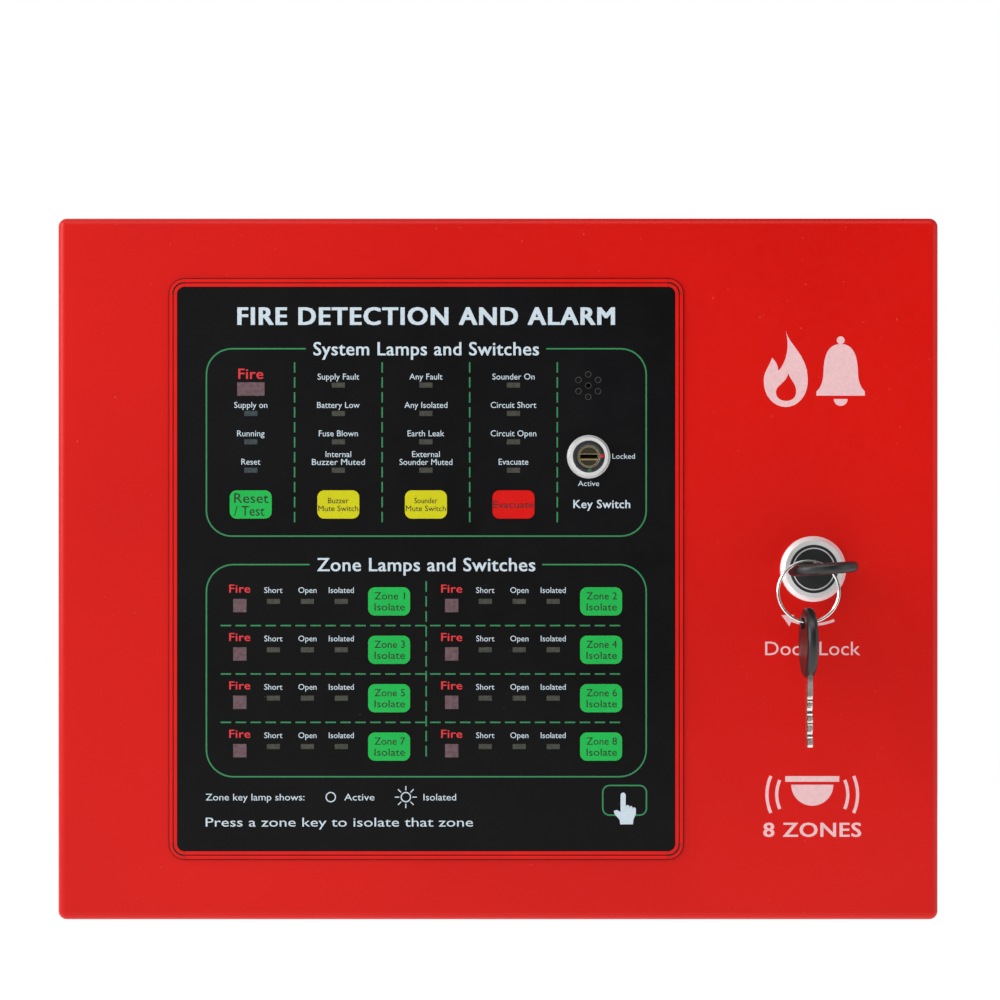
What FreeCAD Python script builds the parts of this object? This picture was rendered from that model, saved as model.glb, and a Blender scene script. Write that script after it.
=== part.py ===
import FreeCAD, Part
import os
import re

import Sketcher

# Fire alarm control panel for a wall, in millimetres.
# The origin is the centre of the back face. +X is to the right as seen from the front,
# +Y goes into the wall and +Z is up, so a depth out from the wall is a negative y.
# Every size below is a cell of the sheet, and the pieces are bound to those cells.

DIMENSIONS = {
    # steel enclosure
    "panel_width": 360.0,
    "panel_height": 287.0,
    "panel_depth": 85.0,
    "door_depth": 22.0,
    "seam_gap": 1.6,
    "box_sheet": 1.2,
    "door_sheet": 1.5,
    "bend_radius": 3.5,
    "lip_width": 13.0,
    "wall_hole_across": 330.0,
    "wall_hole_rise": 256.0,
    "wall_hole_radius": 2.75,
    "knockout_radius": 10.0,
    "knockout_pitch": 40.0,
    "knockout_depth": 30.0,
    "knockout_groove": 0.4,
    "gasket_width": 6.5,
    "gasket_thickness": 1.2,
    # concealed hinge on the left
    "hinge_inset": 5.0,
    "hinge_back": 12.0,
    "hinge_rise": 105.0,
    "tab_thickness": 2.0,
    "tab_radius": 3.6,
    "tab_reach": 30.0,
    "pin_radius": 2.0,
    "pin_clearance": 0.05,
    "ear_thickness": 1.5,
    "ear_gap": 0.4,
    "ear_radius": 3.2,
    "slot_height": 4.0,
    "slot_depth": 18.5,
    # printed front membrane
    "overlay_width": 210.0,
    "overlay_height": 237.0,
    "overlay_middle": -29.3,
    "overlay_thickness": 0.6,
    "overlay_corner": 6.4,
    "key_width": 17.1,
    "key_height": 11.5,
    "key_corner": 2.8,
    "key_gap": 0.15,
    "key_thickness": 0.6,
    "key_lift": 0.4,
    "plunger_radius": 1.7,
    "plunger_reach": 78.3,
    "plunger_hole": 2.2,
    "lamp_width": 5.7,
    "lamp_height": 2.2,
    "main_fire_width": 11.5,
    "main_fire_height": 5.8,
    "zone_fire_side": 5.75,
    "lamp_hole_gap": 0.25,
    # upper block of lamps and keys
    "lamp_first_across": -100.8,
    "lamp_column_pitch": 35.7,
    "lamp_first_rise": 75.0,
    "lamp_row_pitch": 11.57,
    "main_fire_rise": 73.4,
    "key_row_rise": 26.3,
    # lower block, one row of lamps and one key for each zone
    "zone_first_rise": -13.2,
    "zone_row_pitch": 19.73,
    "zone_side_pitch": 86.4,
    "zone_fire_across": -105.3,
    "zone_fire_drop": 1.7,
    "zone_lamp_across": -91.6,
    "zone_lamp_pitch": 13.85,
    "zone_key_across": -44.4,
    # sounder grille and key control switch
    "grille_across": 36.8,
    "grille_rise": 74.8,
    "grille_hole_radius": 1.15,
    "grille_ring_radius": 4.6,
    "buzzer_radius": 11.0,
    "switch_across": 36.9,
    "switch_rise": 45.7,
    "switch_bezel_radius": 8.8,
    "switch_bezel_height": 3.0,
    "switch_recess_radius": 6.55,
    "switch_barrel_radius": 6.0,
    "switch_plug_radius": 4.3,
    "switch_barrel_back": 66.0,
    # circuit board behind the door
    "board_thickness": 1.6,
    "display_width": 192.0,
    "display_height": 180.0,
    "display_across": -29.0,
    "display_rise": 2.0,
    "standoff_height": 8.0,
    "screw_radius": 1.45,
    "screw_head_radius": 2.8,
    "screw_head_height": 2.2,
    # door lock
    "lock_across": 128.3,
    "lock_bezel_radius": 13.35,
    "lock_bezel_height": 4.0,
    "lock_barrel_radius": 9.5,
    "lock_barrel_back": 62.0,
    "lock_rim_outside": 8.65,
    "lock_rim_inside": 8.25,
    "lock_ring_outside": 9.85,
    "lock_face_radius": 8.1,
    "lock_face_height": 1.4,
    "lock_shaft_radius": 6.5,
    "turn_clearance": 0.1,
    "cam_front": 58.7,
    "cam_thickness": 2.0,
    "cam_width": 14.0,
    "cam_reach": 46.0,
    "cam_square": 7.0,
    # keys and their ring
    "key_tilt": 4.0,
    "bow_offset": 1.3,
    "bow_radius": 13.9,
    "bow_thickness": 4.4,
    "bow_edge": 1.9,
    "bow_stand_off": 2.0,
    "bow_slot_width": 10.5,
    "bow_slot_height": 4.3,
    "bow_slot_edge": 4.1,
    "blade_width": 7.5,
    "blade_thickness": 2.0,
    "blade_length": 27.0,
    "blade_tang": 7.0,
    "ring_across": 122.6,
    "ring_drop": 8.9,
    "ring_radius": 12.0,
    "ring_wall": 1.2,
    "ring_width": 2.2,
    "spare_hang": 1.5,
    # equipment inside the box
    "main_board_width": 300.0,
    "main_board_height": 110.0,
    "main_board_rise": 65.0,
    "terminal_width": 15.4,
    "terminal_height": 10.0,
    "terminal_thickness": 11.0,
    "terminal_way_pitch": 5.0,
    "battery_width": 178.0,
    "battery_height": 61.0,
    "battery_thickness": 35.0,
    "battery_across": -66.0,
    "battery_back": 3.0,
    "shelf_gap": 8.0,
    "shelf_sheet": 1.5,
    "supply_width": 114.0,
    "supply_height": 94.0,
    "supply_thickness": 30.0,
    "supply_across": 95.0,
    "supply_rise": -91.0,
}

ORIGIN = FreeCAD.Vector(0, 0, 0)
ALONG_X = FreeCAD.Vector(1, 0, 0)
ALONG_Y = FreeCAD.Vector(0, 1, 0)
ALONG_Z = FreeCAD.Vector(0, 0, 1)

# Depths out from the wall that several pieces share.
BOX_FRONT = "(panel_depth - door_depth - seam_gap)"
DOOR_BACK = "(panel_depth - door_depth)"
DOOR_INSIDE = "(panel_depth - door_sheet)"
OVERLAY_FRONT = "(panel_depth + overlay_thickness)"
DISPLAY_FRONT = "(panel_depth - door_sheet - standoff_height)"
DISPLAY_BACK = "(panel_depth - door_sheet - standoff_height - board_thickness)"
MAIN_BOARD_BACK = "(box_sheet + standoff_height)"
MAIN_BOARD_FRONT = "(box_sheet + standoff_height + board_thickness)"
LOCK_FRONT = "(panel_depth + lock_bezel_height)"
CAM_BACK = "(cam_front - cam_thickness)"
HINGE_ACROSS = "(hinge_inset - panel_width / 2)"
HINGE_DEPTH = "(panel_depth - hinge_back)"
BOW_DEPTH = "(panel_depth + lock_bezel_height + bow_stand_off + bow_radius)"
SLOT_FROM_MIDDLE = "(bow_radius - bow_slot_edge - bow_slot_height / 2)"
FLOOR_INSIDE = "(box_sheet - panel_height / 2)"

ZONE_ROWS = range(4)
SIDES = (-1, 1)

doc = FreeCAD.newDocument("fire_alarm_control_panel")
sheet = doc.addObject("Spreadsheet::Sheet", "dims")
nodes = {}


def fill_sheet():
    for row, (name, number) in enumerate(DIMENSIONS.items(), start=1):
        sheet.set(f"A{row}", name)
        sheet.set(f"B{row}", str(number))
        sheet.setAlias(f"B{row}", name)
    doc.recompute()


def bind(feature, target, formula):
    """Drive a property by a formula of sheet names."""
    def cell(word):
        name = word.group()
        return "dims." + name if name in DIMENSIONS else name

    feature.setExpression(target, re.sub(r"[a-z][a-z_]*", cell, str(formula)))


def node(label, feature):
    """Name a finished sub-part."""
    feature.Label = label
    nodes[label] = feature
    return feature


# Part primitives. x and z are the middle, and depth is the face nearer the wall.

def block(x, z, depth, wide, high, thick):
    box = doc.addObject("Part::Box", "block")
    bind(box, "Length", wide)
    bind(box, "Width", thick)
    bind(box, "Height", high)
    bind(box, "Placement.Base.x", f"({x}) - ({wide}) / 2")
    bind(box, "Placement.Base.y", f"-({depth}) - ({thick})")
    bind(box, "Placement.Base.z", f"({z}) - ({high}) / 2")
    return box


def place_facing_front(feature, x, z, depth):
    """Turn a feature made along +Z so that it points out from the wall."""
    feature.Placement = FreeCAD.Placement(ORIGIN, FreeCAD.Rotation(ALONG_X, 90))
    bind(feature, "Placement.Base.x", x)
    bind(feature, "Placement.Base.y", f"-({depth})")
    bind(feature, "Placement.Base.z", z)
    return feature


def rod(x, z, depth, radius, length):
    cylinder = doc.addObject("Part::Cylinder", "rod")
    bind(cylinder, "Radius", radius)
    bind(cylinder, "Height", length)
    return place_facing_front(cylinder, x, z, depth)


def taper(x, z, depth, back_radius, front_radius, length):
    cone = doc.addObject("Part::Cone", "taper")
    bind(cone, "Radius1", back_radius)
    bind(cone, "Radius2", front_radius)
    bind(cone, "Height", length)
    return place_facing_front(cone, x, z, depth)


def hexagon(x, z, depth, radius, length):
    prism = doc.addObject("Part::Prism", "hexagon")
    prism.Polygon = 6
    bind(prism, "Circumradius", radius)
    bind(prism, "Height", length)
    return place_facing_front(prism, x, z, depth)


def upright_rod(x, depth, bottom, radius, length):
    cylinder = doc.addObject("Part::Cylinder", "upright_rod")
    bind(cylinder, "Radius", radius)
    bind(cylinder, "Height", length)
    bind(cylinder, "Placement.Base.x", x)
    bind(cylinder, "Placement.Base.y", f"-({depth})")
    bind(cylinder, "Placement.Base.z", bottom)
    return cylinder


def fuse(pieces):
    joined = doc.addObject("Part::MultiFuse", "fuse")
    joined.Shapes = pieces
    joined.Refine = True
    return joined


def together(pieces):
    """Separate solids that share one sub-part."""
    compound = doc.addObject("Part::Compound", "together")
    compound.Links = pieces
    return compound


def cut(base, tools):
    result = doc.addObject("Part::Cut", "cut")
    result.Base = base
    result.Tool = tools[0] if len(tools) == 1 else together(tools)
    return result


def tube(x, z, depth, outside, inside, length):
    return cut(rod(x, z, depth, outside, length), [rod(x, z, depth, inside, length)])


# PartDesign features for the sheet metal, membrane and key shapes.

def front_sketch(body, x, z, depth):
    """A sketch facing the front, with its own origin at x, z and a depth from the wall."""
    sketch = body.newObject("Sketcher::SketchObject", "sketch")
    plane = next(f for f in body.Origin.OriginFeatures if f.Role == "XZ_Plane")
    sketch.AttachmentSupport = [(plane, "")]
    sketch.MapMode = "FlatFace"
    bind(sketch, "AttachmentOffset.Base.x", x)
    bind(sketch, "AttachmentOffset.Base.y", z)
    bind(sketch, "AttachmentOffset.Base.z", depth)
    return sketch


def rectangle(sketch, wide, high):
    """A rectangle centred on the sketch's origin."""
    corners = [FreeCAD.Vector(x, z, 0) for x, z in ((-5, -5), (5, -5), (5, 5), (-5, 5))]
    for side in range(4):
        sketch.addGeometry(Part.LineSegment(corners[side], corners[(side + 1) % 4]), False)
    for side in range(4):
        sketch.addConstraint(Sketcher.Constraint("Coincident", side, 2, (side + 1) % 4, 1))
    for side in (0, 2):
        sketch.addConstraint(Sketcher.Constraint("Horizontal", side))
    for side in (1, 3):
        sketch.addConstraint(Sketcher.Constraint("Vertical", side))
    sketch.addConstraint(Sketcher.Constraint("Symmetric", 0, 1, 1, 2, -1, 1))
    for name, kind, side, formula in (("wide", "DistanceX", 0, wide), ("high", "DistanceY", 1, high)):
        number = sketch.addConstraint(Sketcher.Constraint(kind, side, 1, side, 2, 10))
        sketch.renameConstraint(number, name)
        bind(sketch, f"Constraints.{name}", formula)


def circle(sketch, radius):
    """A circle centred on the sketch's origin."""
    sketch.addGeometry(Part.Circle(ORIGIN, ALONG_Z, 5), False)
    sketch.addConstraint(Sketcher.Constraint("Coincident", 0, 3, -1, 1))
    number = sketch.addConstraint(Sketcher.Constraint("Radius", 0, 5))
    sketch.renameConstraint(number, "radius")
    bind(sketch, "Constraints.radius", radius)


def pad(body, sketch, length):
    """Grow the sketch outwards, away from the wall."""
    feature = body.newObject("PartDesign::Pad", "pad")
    feature.Profile = sketch
    bind(feature, "Length", length)
    doc.recompute()
    return feature


def pocket(body, sketch, length, outwards=False):
    """Cut the sketch towards the wall, or outwards, and make sure that it cuts."""
    before = body.Shape.Volume
    feature = body.newObject("PartDesign::Pocket", "pocket")
    feature.Profile = sketch
    feature.Reversed = outwards
    bind(feature, "Length", length)
    doc.recompute()
    if body.Shape.Volume >= before:
        raise RuntimeError(f"a pocket of {body.Label} cuts nothing")
    return feature


def round_edges(body, base, wanted, radius):
    """Fillet the edges whose two ends pass the test."""
    names = []
    for number, edge in enumerate(base.Shape.Edges, start=1):
        first, last = edge.Vertexes[0].Point, edge.Vertexes[-1].Point
        if wanted(first, last):
            names.append(f"Edge{number}")
    feature = body.newObject("PartDesign::Fillet", "fillet")
    feature.Base = (base, names)
    bind(feature, "Radius", radius)
    doc.recompute()
    return feature


def runs_out(first, last):
    """True for an edge that runs straight out from the wall."""
    return abs(first.x - last.x) < 0.01 and abs(first.z - last.z) < 0.01 and abs(first.y - last.y) > 0.1


def rounded_plate(x, z, depth, wide, high, thick, corner):
    """A plate parallel to the wall with rounded corners."""
    body = doc.addObject("PartDesign::Body", "plate")
    sketch = front_sketch(body, x, z, depth)
    rectangle(sketch, wide, high)
    base = pad(body, sketch, thick)
    round_edges(body, base, runs_out, corner)
    return body


# Where the lamps and keys sit on the front.

def small_lamp_places():
    """The middle of each small lamp: first the green ones, then the yellow ones."""
    green = [("lamp_first_across", f"lamp_first_rise - {row} * lamp_row_pitch") for row in (1, 2, 3)]
    yellow = []
    for column in (1, 2, 3):
        for row in range(4):
            across = f"lamp_first_across + {column} * lamp_column_pitch"
            yellow.append((across, f"lamp_first_rise - {row} * lamp_row_pitch"))
    for side in (0, 1):
        for row in ZONE_ROWS:
            for lamp in range(3):
                across = f"zone_lamp_across + {side} * zone_side_pitch + {lamp} * zone_lamp_pitch"
                yellow.append((across, f"zone_first_rise - {row} * zone_row_pitch"))
    return green, yellow


def fire_lamp_places():
    """The middle and the size of each fire lamp: the main one, then one for each zone."""
    places = [("lamp_first_across", "main_fire_rise", "main_fire_width", "main_fire_height")]
    for side in (0, 1):
        for row in ZONE_ROWS:
            across = f"zone_fire_across + {side} * zone_side_pitch"
            rise = f"zone_first_rise - {row} * zone_row_pitch - zone_fire_drop"
            places.append((across, rise, "zone_fire_side", "zone_fire_side"))
    return places


def key_places():
    """The name and the middle of each push key."""
    places = []
    for column, name in enumerate(("reset_test", "buzzer_silence", "sounder_silence", "evacuate")):
        places.append((name, f"lamp_first_across + {column} * lamp_column_pitch", "key_row_rise"))
    for row in ZONE_ROWS:
        for side in (0, 1):
            across = f"zone_key_across + {side} * zone_side_pitch"
            rise = f"zone_first_rise - {row} * zone_row_pitch"
            places.append((f"zone_{2 * row + side + 1}", across, rise))
    return places


def grille_holes(depth, thick):
    """One hole in the middle and six round it."""
    holes = [rod("grille_across", "grille_rise", depth, "grille_hole_radius", thick)]
    for turn in range(6):
        across = f"grille_across + grille_ring_radius * cos({turn} * 60 + 30)"
        rise = f"grille_rise + grille_ring_radius * sin({turn} * 60 + 30)"
        holes.append(rod(across, rise, depth, "grille_hole_radius", thick))
    return holes


# Steel enclosure

def make_back_box():
    body = doc.addObject("PartDesign::Body", "box_body")
    outline = front_sketch(body, 0, 0, 0)
    rectangle(outline, "panel_width", "panel_height")
    base = pad(body, outline, BOX_FRONT)
    round_edges(body, base, runs_out, "bend_radius")
    inside = front_sketch(body, 0, 0, f"{BOX_FRONT} - box_sheet")
    rectangle(inside, "panel_width - 2 * box_sheet", "panel_height - 2 * box_sheet")
    pocket(body, inside, f"{BOX_FRONT} - 2 * box_sheet")
    # The front lip runs along the top, the bottom and the lock side, not the hinge side.
    mouth = front_sketch(body, "-lip_width / 2", 0, BOX_FRONT)
    rectangle(mouth, "panel_width - 2 * box_sheet - lip_width",
              "panel_height - 2 * box_sheet - 2 * lip_width")
    pocket(body, mouth, "2 * box_sheet")
    tools = []
    for side in SIDES:
        for level in SIDES:
            tools.append(rod(f"{side} * wall_hole_across / 2", f"{level} * wall_hole_rise / 2",
                             0, "wall_hole_radius", "box_sheet"))
    # Eight part-punched cable entries in the top, each a round groove half through the sheet.
    for number in range(8):
        across = f"({number} - 3.5) * knockout_pitch"
        bottom = "panel_height / 2 - box_sheet / 2"
        outer = upright_rod(across, "knockout_depth", bottom, "knockout_radius", "box_sheet")
        inner = upright_rod(across, "knockout_depth", bottom,
                            "knockout_radius - knockout_groove", "box_sheet")
        tools.append(cut(outer, [inner]))
    node("back_box", cut(body, tools))


def make_door_gasket():
    rise = "panel_height / 2 - gasket_width / 2 - 0.5"
    length = "panel_width - 35"
    strips = []
    for level in SIDES:
        strips.append(block(3.5, f"{level} * ({rise})", BOX_FRONT, length, "gasket_width",
                            "gasket_thickness"))
    strips.append(block("panel_width / 2 - gasket_width / 2 - 0.5", 0, BOX_FRONT, "gasket_width",
                        "panel_height - 2 * gasket_width - 2", "gasket_thickness"))
    node("door_gasket", together(strips))


def make_hinge():
    """Two tabs welded in the box, the brackets of the door and the pins through both."""
    tabs, pins, brackets = [], [], []
    for level in SIDES:
        middle = f"({level} * hinge_rise)"
        bottom = f"{middle} - tab_thickness / 2"
        strip = block(f"{HINGE_ACROSS} + (tab_radius + box_sheet - hinge_inset) / 2", middle,
                      f"{HINGE_DEPTH} - tab_reach", "tab_radius + hinge_inset - box_sheet",
                      "tab_thickness", "tab_reach")
        nose = upright_rod(HINGE_ACROSS, HINGE_DEPTH, bottom, "tab_radius", "tab_thickness")
        hole = upright_rod(HINGE_ACROSS, HINGE_DEPTH, bottom, "pin_radius", "tab_thickness")
        tabs.append(cut(fuse([strip, nose]), [hole]))
        reach = "(tab_thickness / 2 + ear_gap + ear_thickness)"
        shank = upright_rod(HINGE_ACROSS, HINGE_DEPTH, f"{middle} - {reach} - 1.5", "pin_radius",
                            f"2 * {reach} + 3")
        head = upright_rod(HINGE_ACROSS, HINGE_DEPTH, f"{middle} + {reach} + 0.3",
                           "pin_radius + 1", 1.2)
        pins.append(fuse([shank, head]))
        web = block(f"{HINGE_ACROSS} + 6.8", middle, f"{DOOR_INSIDE} - door_sheet", 16.4,
                    f"2 * {reach}", "door_sheet")
        pieces = [web]
        holes = []
        for ear_side in SIDES:
            ear_middle = f"{middle} + {ear_side} * ({reach} - ear_thickness / 2)"
            ear_bottom = f"{ear_middle} - ear_thickness / 2"
            pieces.append(block(f"{HINGE_ACROSS} + 0.9", ear_middle, HINGE_DEPTH,
                                "2 * ear_radius - 1.8", "ear_thickness",
                                "hinge_back - door_sheet"))
            pieces.append(upright_rod(HINGE_ACROSS, HINGE_DEPTH, ear_bottom, "ear_radius",
                                      "ear_thickness"))
            holes.append(upright_rod(HINGE_ACROSS, HINGE_DEPTH, ear_bottom,
                                     "pin_radius + pin_clearance", "ear_thickness"))
        brackets.append(cut(fuse(pieces), holes))
    node("hinge_tabs", together(tabs))
    node("hinge_pins", together(pins))
    node("door_hinge_brackets", together(brackets))


def make_door_panel():
    body = doc.addObject("PartDesign::Body", "door_body")
    outline = front_sketch(body, 0, 0, DOOR_BACK)
    rectangle(outline, "panel_width", "panel_height")
    base = pad(body, outline, "door_depth")
    back = -(DIMENSIONS["panel_depth"] - DIMENSIONS["door_depth"])

    def not_on_back(first, last):
        return not (abs(first.y - back) < 0.01 and abs(last.y - back) < 0.01)

    round_edges(body, base, not_on_back, "bend_radius")
    inside = front_sketch(body, 0, 0, DOOR_BACK)
    rectangle(inside, "panel_width - 2 * door_sheet", "panel_height - 2 * door_sheet")
    hollow = pocket(body, inside, "door_depth - door_sheet", outwards=True)
    half_width = DIMENSIONS["panel_width"] / 2 - DIMENSIONS["door_sheet"]
    half_height = DIMENSIONS["panel_height"] / 2 - DIMENSIONS["door_sheet"]

    def hollow_bend(first, last):
        inner = all(abs(p.x) < half_width + 0.01 and abs(p.z) < half_height + 0.01
                    for p in (first, last))
        return inner and not_on_back(first, last)

    round_edges(body, hollow, hollow_bend, "bend_radius - door_sheet")

    skin = (f"{DOOR_INSIDE} - 1", "door_sheet + 2")
    tools = [rod("lock_across", 0, skin[0], "lock_barrel_radius + 0.15", skin[1])]
    tools.append(rod("switch_across", "switch_rise", skin[0], "switch_barrel_radius + 0.2", skin[1]))
    tools.extend(grille_holes(*skin))
    for across, rise, wide, high in fire_lamp_places():
        tools.append(block(across, rise, skin[0], f"{wide} + 2 * lamp_hole_gap",
                           f"{high} + 2 * lamp_hole_gap", skin[1]))
    for across, rise in sum(small_lamp_places(), []):
        tools.append(block(across, rise, skin[0], "lamp_width + 2 * lamp_hole_gap",
                           "lamp_height + 2 * lamp_hole_gap", skin[1]))
    for name, across, rise in key_places():
        tools.append(rod(across, rise, skin[0], "plunger_hole", skin[1]))
    for level in SIDES:
        tools.append(block("-panel_width / 2", f"{level} * hinge_rise", f"{DOOR_BACK} - 1",
                           "4 * door_sheet", "slot_height", "slot_depth + 1"))
    node("door_panel", cut(body, tools))


# Printed membrane, push keys and lamps

def make_front_overlay():
    plate = rounded_plate("overlay_middle", 0, "panel_depth", "overlay_width", "overlay_height",
                          "overlay_thickness", "overlay_corner")
    tools = [rod("switch_across", "switch_rise", "panel_depth", "switch_barrel_radius + 0.2",
                 "overlay_thickness")]
    tools.extend(grille_holes("panel_depth", "overlay_thickness"))
    for across, rise, wide, high in fire_lamp_places():
        tools.append(block(across, rise, "panel_depth", wide, high, "overlay_thickness"))
    for across, rise in sum(small_lamp_places(), []):
        tools.append(block(across, rise, "panel_depth", "lamp_width", "lamp_height",
                           "overlay_thickness"))
    for name, across, rise in key_places():
        tools.append(rounded_plate(across, rise, "panel_depth", "key_width + 2 * key_gap",
                                   "key_height + 2 * key_gap", "overlay_thickness",
                                   "key_corner + key_gap"))
    node("front_overlay", cut(plate, tools))


def make_keys():
    """Each push key is a domed pad face with a plunger that reaches its switch."""
    switches = []
    for name, across, rise in key_places():
        face = rounded_plate(across, rise, "panel_depth + key_lift", "key_width", "key_height",
                             "key_thickness", "key_corner")
        plunger = rod(across, rise, "plunger_reach", "plunger_radius",
                      "panel_depth + key_lift - plunger_reach")
        node(f"key_{name}", fuse([face, plunger]))
        case = block(across, rise, DISPLAY_FRONT, 6, 6, 3.5)
        well = rod(across, rise, "plunger_reach - 0.5", "plunger_radius + 0.1", 2)
        switches.append(cut(case, [well]))
    node("tact_switches", together(switches))


def make_lamps():
    """Light emitting diodes with flat faces just behind the membrane."""
    green, yellow = small_lamp_places()
    length = f"panel_depth - 0.4 - {DISPLAY_FRONT}"
    for label, places in (("status_lamps", green), ("fault_lamps", yellow)):
        lamps = [block(across, rise, DISPLAY_FRONT, "lamp_width - 0.5", "lamp_height - 0.2", length)
                 for across, rise in places]
        node(label, together(lamps))
    lamps = [block(across, rise, DISPLAY_FRONT, f"{wide} - 0.5", f"{high} - 0.4", length)
             for across, rise, wide, high in fire_lamp_places()]
    node("fire_lamps", together(lamps))


def make_display_board():
    posts = [("display_across + {0} * (display_width / 2 - 5)".format(side),
              "display_rise + {0} * (display_height / 2 - 5)".format(level))
             for side in SIDES for level in SIDES]
    posts += [("lamp_first_across + lamp_column_pitch", 7.5), ("switch_across - 16", 7.5)]
    plate = block("display_across", "display_rise", DISPLAY_BACK, "display_width",
                  "display_height", "board_thickness")
    tools = [rod("switch_across", "switch_rise", DISPLAY_BACK, "switch_barrel_radius + 1",
                 "board_thickness")]
    standoffs, screws = [], []
    for across, rise in posts:
        tools.append(rod(across, rise, DISPLAY_BACK, "screw_radius + 0.15", "board_thickness"))
        post = hexagon(across, rise, DISPLAY_FRONT, 3.2, "standoff_height")
        standoffs.append(cut(post, [rod(across, rise, DISPLAY_FRONT, "screw_radius + 0.05", 6)]))
        shank = rod(across, rise, DISPLAY_BACK, "screw_radius", "board_thickness + 5")
        head = rod(across, rise, f"{DISPLAY_BACK} - screw_head_height", "screw_head_radius",
                   "screw_head_height")
        screws.append(fuse([shank, head]))
    node("display_board", cut(plate, tools))
    node("display_standoffs", together(standoffs))
    node("display_screws", together(screws))
    chips = [block(-60, 40, f"{DISPLAY_BACK} - 2.5", 14, 14, 2.5)]
    for number in range(4):
        chips.append(block(f"-95 + {number} * 32", -40, f"{DISPLAY_BACK} - 3.6", 20, 7, 3.6))
    node("display_chips", together(chips))
    shell = block(-30, 82, f"{DISPLAY_BACK} - 9", 46, 9, 9)
    node("display_header", cut(shell, [block(-30, 82, f"{DISPLAY_BACK} - 9", 43, 6, 7)]))


def make_buzzer():
    case = rod("grille_across", "grille_rise", DISPLAY_FRONT, "buzzer_radius", "standoff_height - 0.5")
    port = rod("grille_across", "grille_rise", f"{DISPLAY_FRONT} + 3", 1.5, "standoff_height")
    node("buzzer", cut(case, [port]))


# Key control switch

def make_keyswitch():
    place = ("switch_across", "switch_rise")
    barrel = rod(*place, "switch_barrel_back", "switch_barrel_radius",
                 f"{OVERLAY_FRONT} - switch_barrel_back")
    rim = rod(*place, OVERLAY_FRONT, "switch_bezel_radius", "switch_bezel_height - 1.2")
    bevel = taper(*place, f"{OVERLAY_FRONT} + switch_bezel_height - 1.2", "switch_bezel_radius",
                  "switch_bezel_radius - 1", 1.2)
    front = f"({OVERLAY_FRONT} + switch_bezel_height)"
    bore = rod(*place, "switch_barrel_back + 2", "switch_plug_radius + turn_clearance", 30)
    recess = rod(*place, f"{front} - 1", "switch_recess_radius", 2)
    node("keyswitch_body", cut(fuse([barrel, rim, bevel]), [bore, recess]))
    nut = hexagon(*place, f"{DOOR_INSIDE} - 3", 9, 3)
    node("keyswitch_nut", cut(nut, [rod(*place, f"{DOOR_INSIDE} - 3", "switch_barrel_radius", 3)]))
    node("keyswitch_contacts", block(*place, "switch_barrel_back - 8", 16, 12, 8))
    plug = rod(*place, "switch_barrel_back + 3", "switch_plug_radius",
               f"{front} - 0.6 - switch_barrel_back - 3")
    keyway = block(*place, f"{front} - 12", 6.6, 1.6, 12)
    node("keyswitch_plug", cut(plug, [keyway]))


# Door lock

def make_lock():
    place = ("lock_across", 0)
    barrel = rod(*place, "lock_barrel_back", "lock_barrel_radius", "panel_depth - lock_barrel_back")
    rim = rod(*place, "panel_depth", "lock_bezel_radius", "lock_bezel_height - 1.8")
    bevel = taper(*place, "panel_depth + lock_bezel_height - 1.8", "lock_bezel_radius",
                  "lock_bezel_radius - 1.7", 1.8)
    groove = tube(*place, f"{LOCK_FRONT} - 1.5", "lock_ring_outside", "lock_rim_outside", 2)
    seat = rod(*place, f"{LOCK_FRONT} - lock_face_height - 0.2", "lock_rim_inside", 3)
    bore = rod(*place, "lock_barrel_back - 1", "lock_shaft_radius + turn_clearance", 30)
    node("lock_body", cut(fuse([barrel, rim, bevel]), [groove, seat, bore]))
    node("lock_ring", tube(*place, f"{LOCK_FRONT} - 1.5", "lock_ring_outside - 0.05",
                           "lock_rim_outside + 0.05", 1.4))
    nut = hexagon(*place, f"{DOOR_INSIDE} - 4", 15, 4)
    bore = rod(*place, f"{DOOR_INSIDE} - 4", "lock_barrel_radius", 4)
    node("lock_nut", cut(nut, [bore]))

    face = rod(*place, f"{LOCK_FRONT} - lock_face_height", "lock_face_radius", "lock_face_height")
    shaft = rod(*place, "cam_front", "lock_shaft_radius", f"{LOCK_FRONT} - lock_face_height - cam_front")
    square = block(*place, CAM_BACK, "cam_square", "cam_square", "cam_thickness")
    keyway = block(0, 0, 0, "blade_width + 0.6", "blade_thickness + 0.4", "blade_length - 1.4")
    # The keyway sits a few degrees off level, with the key that is in it.
    keyway.Placement.Rotation = FreeCAD.Rotation(ALONG_Y, -DIMENSIONS["key_tilt"])
    tilt = "key_tilt"
    half_wide, half_high = "(blade_width + 0.6) / 2", "(blade_thickness + 0.4) / 2"
    bind(keyway, "Placement.Base.x",
         f"lock_across - {half_wide} * cos({tilt}) + {half_high} * sin({tilt})")
    bind(keyway, "Placement.Base.y", f"-{LOCK_FRONT}")
    bind(keyway, "Placement.Base.z", f"-{half_wide} * sin({tilt}) - {half_high} * cos({tilt})")
    thread = rod(*place, CAM_BACK, 2, 5.3)
    node("lock_plug", cut(fuse([face, shaft, square]), [keyway, thread]))

    drop = "(cam_reach - cam_width / 2)"
    arm = block("lock_across", f"-{drop} / 2", CAM_BACK, "cam_width", drop, "cam_thickness")
    ends = [rod("lock_across", level, CAM_BACK, "cam_width / 2", "cam_thickness")
            for level in (0, f"-{drop}")]
    hole = block(*place, CAM_BACK, "cam_square", "cam_square", "cam_thickness")
    node("lock_cam", cut(fuse([arm] + ends), [hole]))
    head = hexagon(*place, f"{CAM_BACK} - 2.2", 5, 2.2)
    node("cam_screw", fuse([head, rod(*place, CAM_BACK, 2, 5)]))


# Keys. In a key's own frame the bow is centred on the origin and the blade points along +Y,
# a little to one side of the middle of the bow.

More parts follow.
